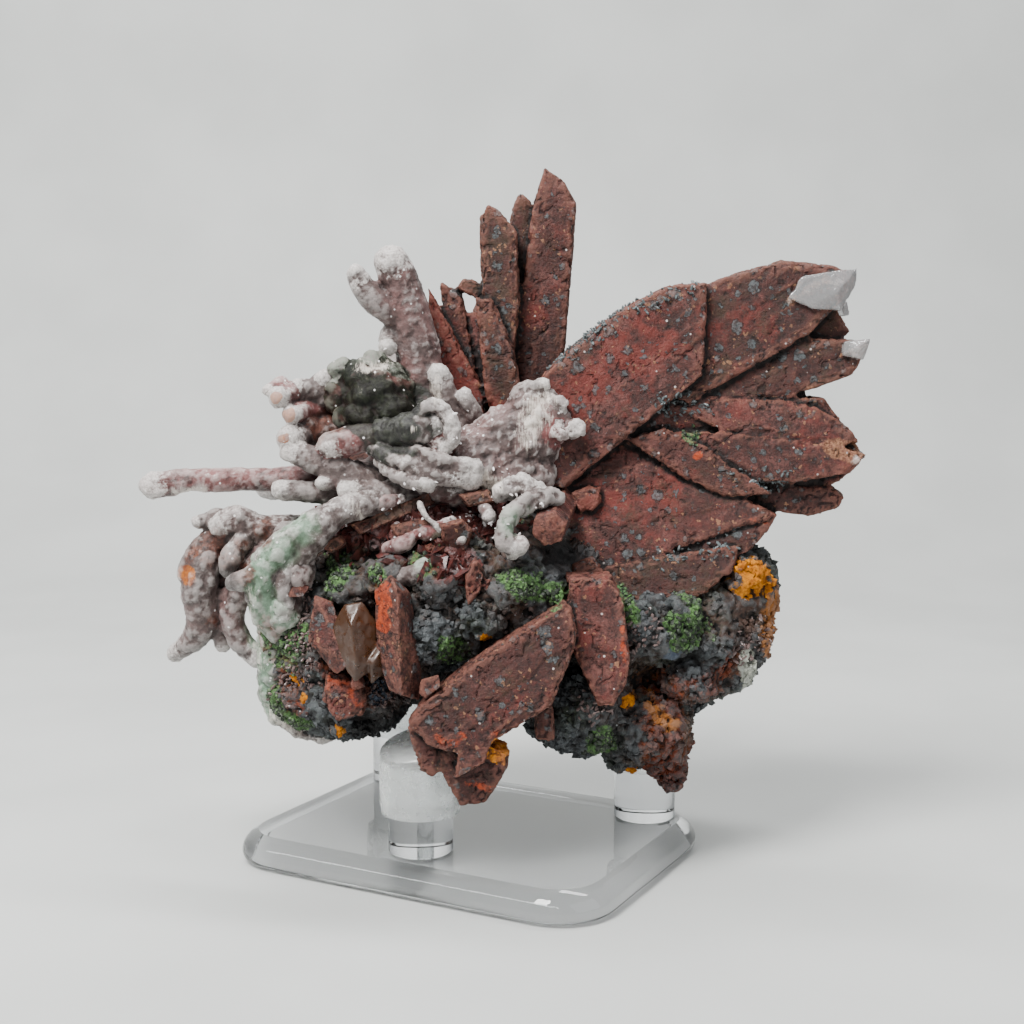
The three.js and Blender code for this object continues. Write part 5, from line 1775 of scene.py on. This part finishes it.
@dataclass
class Stand:
    """The clear stand: a plate with round corners, and three rods in soft frosted caps.

    brow is the turn of the plate's side, in degrees, at which it meets the flat top. plate_edge and round_edge are
    the angles, in degrees, past which an edge stays hard.
    """

    plastic: Material
    soft: Material
    posts: Sequence[Post] = POSTS
    length: float = 82.4
    width: float = 62.2
    thickness: float = 6.35
    corner: float = 12.0
    corner_steps: int = 14
    plate_edge: float = 16
    round_edge: float = 40
    flare: float = 3.4
    brow: float = 58
    lower: float = 1.8
    widest: float = 2.2
    foot_inset: float = 5.5
    foot_slope: float = 0.4
    rim_lift: float = 0.3
    rod_radius: float = 6.35
    rod_seat: float = 0.06
    rod_ease: float = 0.35
    pocket_gap: float = 0.12
    lip: float = 0.4
    cap_ease: float = 0.3
    cap_top: float = 3.5
    cap_round: float = 2.5
    chamfer: float = 1.0

    def plate(self) -> Thing:
        """The plate, with polished sides that flare out towards the table."""
        body = bmesh.new()
        rings = [[body.verts.new((x * MM, y * MM, z * MM)) for x, y in self.outline(inset)]
                 for inset, z in self.rim()]
        for low, high in zip(rings, rings[1:]):
            count = len(low)
            for k in range(count):
                j = (k + 1) % count
                body.faces.new((low[k], low[j], high[j], high[k]))
        body.faces.new(rings[0])
        body.faces.new(rings[-1])
        bmesh.ops.recalc_face_normals(body, faces=body.faces)
        return finished("clear_plate", body, self.plastic, self.plate_edge)

    def rim(self) -> list[tuple[float, float]]:
        """How far inside the outline the plate's side lies, and its height, from the underside up."""
        foot = [(self.foot_inset, 0.0), (self.foot_inset - self.foot_slope, self.rim_lift)]
        lower = arc((0.0, 0.0), 1.0, -90, 0, 6)
        foot += [(self.lower * (1 - x), self.rim_lift + (self.widest - self.rim_lift) * (1 + z)) for x, z in lower]
        upper = arc((0.0, 0.0), 1.0, 0, self.brow, 8)
        (end_x, end_z), rise = upper[-1], self.thickness - self.widest
        return foot + [(self.flare * (1 - x) / (1 - end_x), self.widest + rise * z / end_z) for x, z in upper[1:]]

    def outline(self, inset: float) -> list[tuple[float, float]]:
        """The plate's outline, moved inwards, in the frame's X and Y.

        Args:
            inset: how far inwards.

        Returns:
            The points, anticlockwise.
        """
        x, y = self.length / 2 - self.corner, self.width / 2 - self.corner
        radius = self.corner - inset
        points = []
        for (cx, cy), start in zip(((x, y), (-x, y), (-x, -y), (x, -y)), (0, 90, 180, 270)):
            points += arc((cx, cy), radius, start, start + 90, self.corner_steps)
        cosine, sine = math.cos(self.posts[0].turn), math.sin(self.posts[0].turn)
        return [(px * cosine - py * sine, px * sine + py * cosine) for px, py in points]

    def rod(self, post: Post) -> Thing:
        """A rod, with slightly eased ends, standing on the plate."""
        top = post.cap_base + CAP_HEIGHT - self.cap_top - SEAT_GAP
        base = self.thickness + self.rod_seat
        ease, radius = self.rod_ease, self.rod_radius
        profile = [(0, base), (radius - ease, base), (radius, base + ease), (radius, top - ease),
                   (radius - ease, top), (0, top)]
        return self.standing("clear_rod_" + post.name, turned(profile), post, self.plastic)

    def cap(self, post: Post) -> Thing:
        """A soft cap, closed on top, with a blind pocket over the rod and a sloping top."""
        top = post.cap_base + CAP_HEIGHT
        inner = self.rod_radius + self.pocket_gap
        base, ease = post.cap_base, self.cap_ease
        profile = [(0, top - self.cap_top), (inner, top - self.cap_top), (inner, base), (inner + self.lip, base)]
        profile += [(CAP_RADIUS - ease, base + ease), (CAP_RADIUS, base + self.cap_round)]
        profile += arc((CAP_RADIUS - self.chamfer, top - self.chamfer), self.chamfer, 0, 90, 4)
        profile += [(0.6 * CAP_RADIUS, top), (0, top)]
        body = turned(profile)
        for vertex in body.verts:
            if vertex.co.z > (top - 2 * self.chamfer) * MM:
                vertex.co.z += CAP_SLOPE * (vertex.co.x + vertex.co.y) * math.sqrt(0.5)
        return self.standing("soft_cap_" + post.name, body, post, self.soft)

    def standing(self, name: str, body: Body, post: Post, material: Material) -> Thing:
        """Moves a body to its post and finishes it.

        Args:
            name: the piece's name.
            body: the body, about the Z axis, which is used up.
            post: the post.
            material: the finish.

        Returns:
            The piece.
        """
        x, y = post.foot()
        bmesh.ops.translate(body, verts=body.verts, vec=(x * MM, y * MM, 0))
        return finished(name, body, material, self.round_edge)

    def build(self) -> dict[str, tuple[Thing, str]]:
        """Makes every piece of the stand.

        Returns:
            For each CAD node, the piece that stands for it and its material slot.
        """
        pieces = {"stand_plate": (self.plate(), "clear_plastic")}
        for post in self.posts:
            pieces["rod_" + post.name] = (self.rod(post), "clear_plastic")
            pieces["cap_" + post.name] = (self.cap(post), "frosted_plastic")
        return pieces


# ---- the studio


@dataclass(frozen=True)
class Studio:
    """A pale table, a pale backdrop, soft lights and the camera."""

    eye: Point = (0.0084, -0.3014, 0.1042)
    pitch: float = math.radians(83.66)
    lens: float = 52.73
    sensor: float = 36.0
    aim: Point = (0.0, 0.0, 0.07)
    sky: Colour = (0.9, 0.93, 1.0)
    sky_strength: float = 0.23
    floor_side: float = 2.2
    floor_near: float = 0.9
    sweep_start: float = 0.3
    sweep_radius: float = 0.25
    wall: float = 1.6
    contact: float = 0.00003

    def floor(self) -> Thing:
        """The table and the backdrop, as one sheet that curves upwards behind."""
        rows = [(-self.floor_near, 0.0), (self.sweep_start, 0.0)]
        centre = (self.sweep_start, self.sweep_radius)
        rows += arc(centre, self.sweep_radius, -90, 0, 24)[1:]
        rows.append((rows[-1][0], self.wall))
        body = bmesh.new()
        sides = (-self.floor_side, self.floor_side)
        lines = [[body.verts.new((x, y, z + self.contact)) for x in sides] for y, z in rows]
        for near, far in zip(lines, lines[1:]):
            body.faces.new((near[0], near[1], far[1], far[0]))
        mesh = bpy.data.meshes.new("studio_floor")
        body.to_mesh(mesh)
        body.free()
        mesh.materials.append(TableTop(name="table_top", roughness=0.6).material())
        shade_smooth(mesh)
        return object_of("studio_floor", mesh)

    def light(self, name: str, place: Point, sides: tuple[float, float], power: float, colour: Colour) -> None:
        """Adds an oblong area light aimed at the specimen.

        Args:
            name: the light's name.
            place: where it hangs, in metres.
            sides: its sides, in metres.
            power: its power, in watts.
            colour: its colour.
        """
        lamp = bpy.data.lights.new(name, "AREA")
        lamp.shape = "RECTANGLE"
        lamp.size, lamp.size_y = sides
        lamp.energy = power
        lamp.color = colour
        holder = bpy.data.objects.new(name, lamp)
        holder.location = place
        holder.rotation_euler = (Vector(self.aim) - Vector(place)).to_track_quat("-Z", "Y").to_euler()
        bpy.context.scene.collection.objects.link(holder)

    def build(self) -> None:
        """Makes the floor, the lights, the world and the camera."""
        self.floor()
        self.light("key", (-0.28, -0.38, 0.72), (0.3, 0.3), 15.0, (1.0, 0.99, 0.97))
        self.light("fill", (0.7, -0.5, 0.45), (0.8, 0.8), 2.6, (0.96, 0.98, 1.0))
        self.light("top", (0.05, 0.16, 0.75), (0.9, 0.09), 6.5, (1.0, 1.0, 1.0))
        self.light("edge", (-0.42, -0.52, 0.66), (1.3, 0.05), 4.0, (1.0, 1.0, 1.0))
        world = bpy.data.worlds.new("soft_room")
        world.use_nodes = True
        background = world.node_tree.nodes["Background"]
        background.inputs["Color"].default_value = (*self.sky, 1.0)
        background.inputs["Strength"].default_value = self.sky_strength
        bpy.context.scene.world = world
        camera = bpy.data.cameras.new("camera")
        camera.lens = self.lens
        camera.sensor_width = self.sensor
        camera.sensor_fit = "HORIZONTAL"
        camera.clip_start = 0.01
        holder = bpy.data.objects.new("camera", camera)
        holder.location = self.eye
        holder.rotation_euler = (self.pitch, 0.0, 0.0)
        bpy.context.scene.collection.objects.link(holder)
        bpy.context.scene.camera = holder


@dataclass(frozen=True)
class TableTop(Finish):
    """A smooth, matt, off-white table top."""

    name: str = "table_top"
    light: Colour = srgb(188, 190, 188)
    dark: Colour = srgb(180, 182, 180)

    def dress(self, tree: Tree, shader: bpy.types.Node, place: Value) -> None:
        """Fills the shader's inputs."""
        cloud = tree.noise(place, 60 * MM, 3, 0.5)
        tree.feed(shader.inputs["Base Color"], tree.mix(cloud.step(0.3, 0.7), self.dark, self.light))


# ---- assembly


HARD_FACES = {"Swell": 0.12, "Swell Size": 7.0, "Step": 0.14, "Step Size": 2.4, "Grain": 0.2, "Grain Size": 0.9,
              "Crack": 0.25, "Crack Size": 11.0, "Crack Width": 0.02, "Chip": 0.5, "Chip Size": 2.0, "Cleft": 0.7}
CRISP = {"Swell": 0.1, "Swell Size": 4.0, "Grain": 0.08, "Grain Size": 0.9, "Chip": 0.25, "Chip Size": 2.0}
GLASSY = {"Swell": 0.06, "Swell Size": 4.0, "Grain": 0.03, "Grain Size": 0.9, "Chip": 0.14, "Chip Size": 2.0,
          "Cleft": 0.5}
KNOBBY = {"Swell": 0.6, "Swell Size": 5.0, "Crag": 0.2, "Crag Size": 2.4, "Knob": 0.2, "Knob Size": 2.4,
          "Grain": 0.24, "Grain Size": 0.9}
CRUSTED = {"Swell": 0.7, "Swell Size": 4.0, "Crag": 0.4, "Crag Size": 3.2, "Block": 0.22, "Block Size": 1.8,
           "Knob": 0.25, "Knob Size": 2.2, "Grain": 0.3, "Grain Size": 0.9}
MOSSY = {"Swell": 0.8, "Swell Size": 4.0, "Crag": 0.3, "Crag Size": 3.0, "Knob": 0.7, "Knob Size": 2.8,
         "Grain": 0.3, "Grain Size": 0.9}
BLOCKY = {"Swell": 0.9, "Swell Size": 8.0, "Crag": 0.4, "Crag Size": 4.5, "Block": 0.6, "Block Size": 2.6,
          "Grain": 0.45, "Grain Size": 1.1, "Crack": 0.6, "Crack Size": 8.0, "Crack Width": 0.045}


@dataclass(frozen=True)
class Sown:
    """A growth of small shapes: what they are, where they sit, what covers them and how many to a mm2."""

    name: str
    skin: str
    mask: Stain
    shape: Callable[[], Body]
    finish: Finish
    density: float
    smallest: float
    largest: float
    tilt: float = 0.6

    def build(self, growth: bpy.types.NodeTree, pieces: dict[str, Thing], seed: int) -> Thing:
        """Sows the growth over its skin.

        Args:
            growth: the tree that does it.
            pieces: the finished skins by name.
            seed: the seed of its pattern.

        Returns:
            The finished object.
        """
        pattern = mesh_of("pattern", [self.shape()])
        grown = object_of(self.name, pieces[self.skin].data.copy())
        modifier = grown.modifiers.new("growth", "NODES")
        modifier.node_group = growth
        set_inputs(modifier, {
            "Density": self.density / MM**2, "Smallest": self.smallest, "Largest": self.largest, "Tilt": self.tilt,
            "Seed": seed, "Mask": self.mask.value, "Shape": pattern, "Material": self.finish.material(),
        })
        baked(grown)
        bpy.data.objects.remove(pattern)
        clear_of_caps(grown.data, POSTS)
        return grown


def crystal_point() -> Body:
    """A small six-sided crystal, 1 mm tall."""
    return Prism((0, 0, -0.4), (0, 0, 1), 0.62, 0.56, 0.4).solid().shape()


def shard() -> Body:
    """A broken flat chip, 1 mm tall."""
    corners = ((-0.45, -0.14, -0.4), (0.4, -0.2, -0.4), (0.1, 0.22, -0.4), (-0.3, -0.12, 0.7), (0.22, 0.0, 1.0),
               (0.0, 0.2, 0.5), (0.36, -0.1, 0.3))
    return Block(corners).solid().shape()


def rubble() -> Body:
    """A broken piece of ore, about 1 mm wide."""
    corners = ((-0.5, -0.3, -0.3), (0.45, -0.4, -0.2), (0.5, 0.35, -0.3), (-0.35, 0.5, -0.1), (-0.3, -0.25, 0.5),
               (0.3, -0.2, 0.35), (0.15, 0.4, 0.45))
    return Block(corners).solid().shape()


def grain() -> Body:
    """A lumpy grain, 1 mm wide."""
    return ball(0.5, 1)


GREEN_GRAINS = Grains(name="green_grains", dark=srgb(22, 30, 18), light=srgb(98, 128, 78), bottom=0.48, top=0.66)
RED_SHARDS = Grains(name="red_shards", dark=srgb(22, 10, 10), light=srgb(92, 46, 42), roughness=0.45, spread=1.2)
SLATE_POINTS = Grains(name="slate_points", dark=srgb(36, 38, 38), light=srgb(100, 110, 112), roughness=0.5, spread=2)
# small white crystals, whose whiteness partly stands in for glints: painted glints
BRIGHT_POINTS = Grains(name="bright_points", dark=srgb(196, 186, 184), light=srgb(240, 238, 238), roughness=0.3)
DRUSE_POINTS = Grains(name="druse_points", dark=srgb(52, 40, 40), light=srgb(124, 104, 100), roughness=0.4, spread=3)
SOWN: tuple[Sown, ...] = (
    Sown("green_crust", "ironstone", Stain.GREEN, grain, GREEN_GRAINS, 1.75, 0.5, 1.4),
    Sown("green_crust_blades", "fan_blades", Stain.GREEN, grain, GREEN_GRAINS, 1.6, 0.4, 0.9),
    Sown("ore_rubble", "ironstone", Stain.CRUST, rubble, Ironstone(name="ore_rubble"), 1.15, 0.4, 1.6, 3.0),
    Sown("red_shards", "ironstone", Stain.SHARD, shard, RED_SHARDS, 0.8, 0.7, 3.0, 1.6),
    Sown("crest_druse", "fan_blades", Stain.GREY, crystal_point, SLATE_POINTS, 1.5, 0.35, 0.95, 1.2),
    Sown("middle_points", "middle_crust", Stain.SPARK, crystal_point, BRIGHT_POINTS, 0.12, 0.3, 0.8, 1.0),
    Sown("bright_points", "ironstone", Stain.SPARK, crystal_point, BRIGHT_POINTS, 0.24, 0.4, 1.1, 1.0),
    Sown("trunk_points", "silica_trunk", Stain.SPARK, crystal_point, BRIGHT_POINTS, 0.14, 0.3, 0.7, 1.0),
    Sown("root_points", "root_crust", Stain.SPARK, crystal_point, BRIGHT_POINTS, 0.15, 0.3, 0.8, 1.0),
    Sown("druse_points", "ironstone", Stain.DRUSE, crystal_point, DRUSE_POINTS, 1.35, 0.5, 1.15, 1.0),
)


def attach(piece: Thing, node: str) -> None:
    """Rides a piece on the specimen's body, in place of a CAD node, and reports it.

    Args:
        piece: the finished object.
        node: the CAD node it stands for.
    """
    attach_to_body(piece, "root")
    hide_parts(node)
    piece.data.calc_loop_triangles()
    log.info("%s: %d triangles", piece.name, len(piece.data.loop_triangles))


def cluster() -> list[Thing]:
    """Builds every piece of the specimen.

    Returns:
        The pieces.
    """
    skin = SkinTree()
    blades = StainedQuartz().material()
    silica = PaleSilica().material()
    mossy = PaleSilica(name="mossy_silica", grey=srgb(44, 46, 38), core=srgb(12, 13, 10), moss=srgb(34, 38, 28),
                       white=srgb(130, 136, 124), sheen=0.0, specular=0.15).material()
    ore = Ironstone().material()
    ice = Clear(name="clear_quartz", tint=(0.86, 0.86, 0.87), ior=1.54, roughness=0.06, haze=0.2, milk=0.22,
                haze_size=1.5, absorbed=(0.8, 0.82, 0.85), density=30.0).material()
    smoke = Clear(name="smoky_quartz", tint=srgb(84, 50, 24), ior=1.54, roughness=0.2, haze=0.45, milk=0.42,
                  haze_size=1.5, absorbed=srgb(205, 160, 120), density=60.0).material()
    makers = [
        CrystalGroup("upright_blades", UPRIGHT, blades, 0.42, HARD_FACES),
        CrystalGroup("fan_blades", FAN, blades, 0.42, HARD_FACES),
        CrystalGroup("lower_blades", (*LOWER, SPLINTER), blades, 0.36, HARD_FACES),
        CrystalGroup("broken_stub", (STUB,), blades, 0.32, CRISP, ()),
        CrystalGroup("broken_crystals", BROKEN, blades, 0.3, CRISP),
        CrystalGroup("lower_left_crystals", LOWER_LEFT, blades, 0.3, CRISP),
        CrystalGroup("rear_prisms", REAR, blades, 0.9, HARD_FACES, ()),
        CrystalGroup("clear_tips", CLEAR_TIPS, ice, 0.36, GLASSY, ()),
        CrystalGroup("smoky_crystals", SMOKY, smoke, 0.36, GLASSY, ()),
        SilicaGrowth("silica_trunk", TRUNK, silica, KNOBBY),
        SilicaGrowth("mossy_knob", MOSS_FINGERS, mossy, MOSSY, MOSS_KNOBS),
        SilicaGrowth("silica_fingers", LEFT_FINGERS, silica, KNOBBY),
        SilicaGrowth("hanging_fingers", HANGING, silica, KNOBBY),
        SilicaGrowth("root_crust", CRUST, silica, CRUSTED, ROOT_KNOBS),
        SilicaGrowth("middle_crust", MIDDLE_CRUST, silica, KNOBBY, voxel=0.34),
        SilicaGrowth("edge_crust", EDGE_CRUST, silica, CRUSTED, EDGE_KNOBS),
        SilicaGrowth("rear_fingers", REAR_FINGERS, silica, KNOBBY, voxel=0.8),
        OreMass(ore, BLOCKY, POSTS),
    ]
    pieces = {maker.name: maker.build(skin) for maker in makers}
    growth = growth_tree()
    for seed, sown in enumerate(SOWN):
        pieces[sown.name] = sown.build(growth, pieces, seed + SEED)
    return list(pieces.values())


def main() -> None:
    """Builds the stand, the specimen and the studio, and reports each piece."""
    logging.basicConfig(level=logging.INFO, format="%(message)s")
    plastic = Clear(name="polished_plastic", tint=(0.97, 0.98, 1.0), ior=1.49).material()
    soft = Clear(name="frosted_plastic", tint=(0.96, 0.98, 0.97), ior=1.46, roughness=0.2, haze=0.15,
                 milk=0.14).material()
    for node, (piece, slot) in Stand(plastic, soft).build().items():
        attach(piece, node)
    for piece in cluster():
        attach(piece, "quartz_cluster")
    Studio().build()


if __name__ == "__main__":
    main()
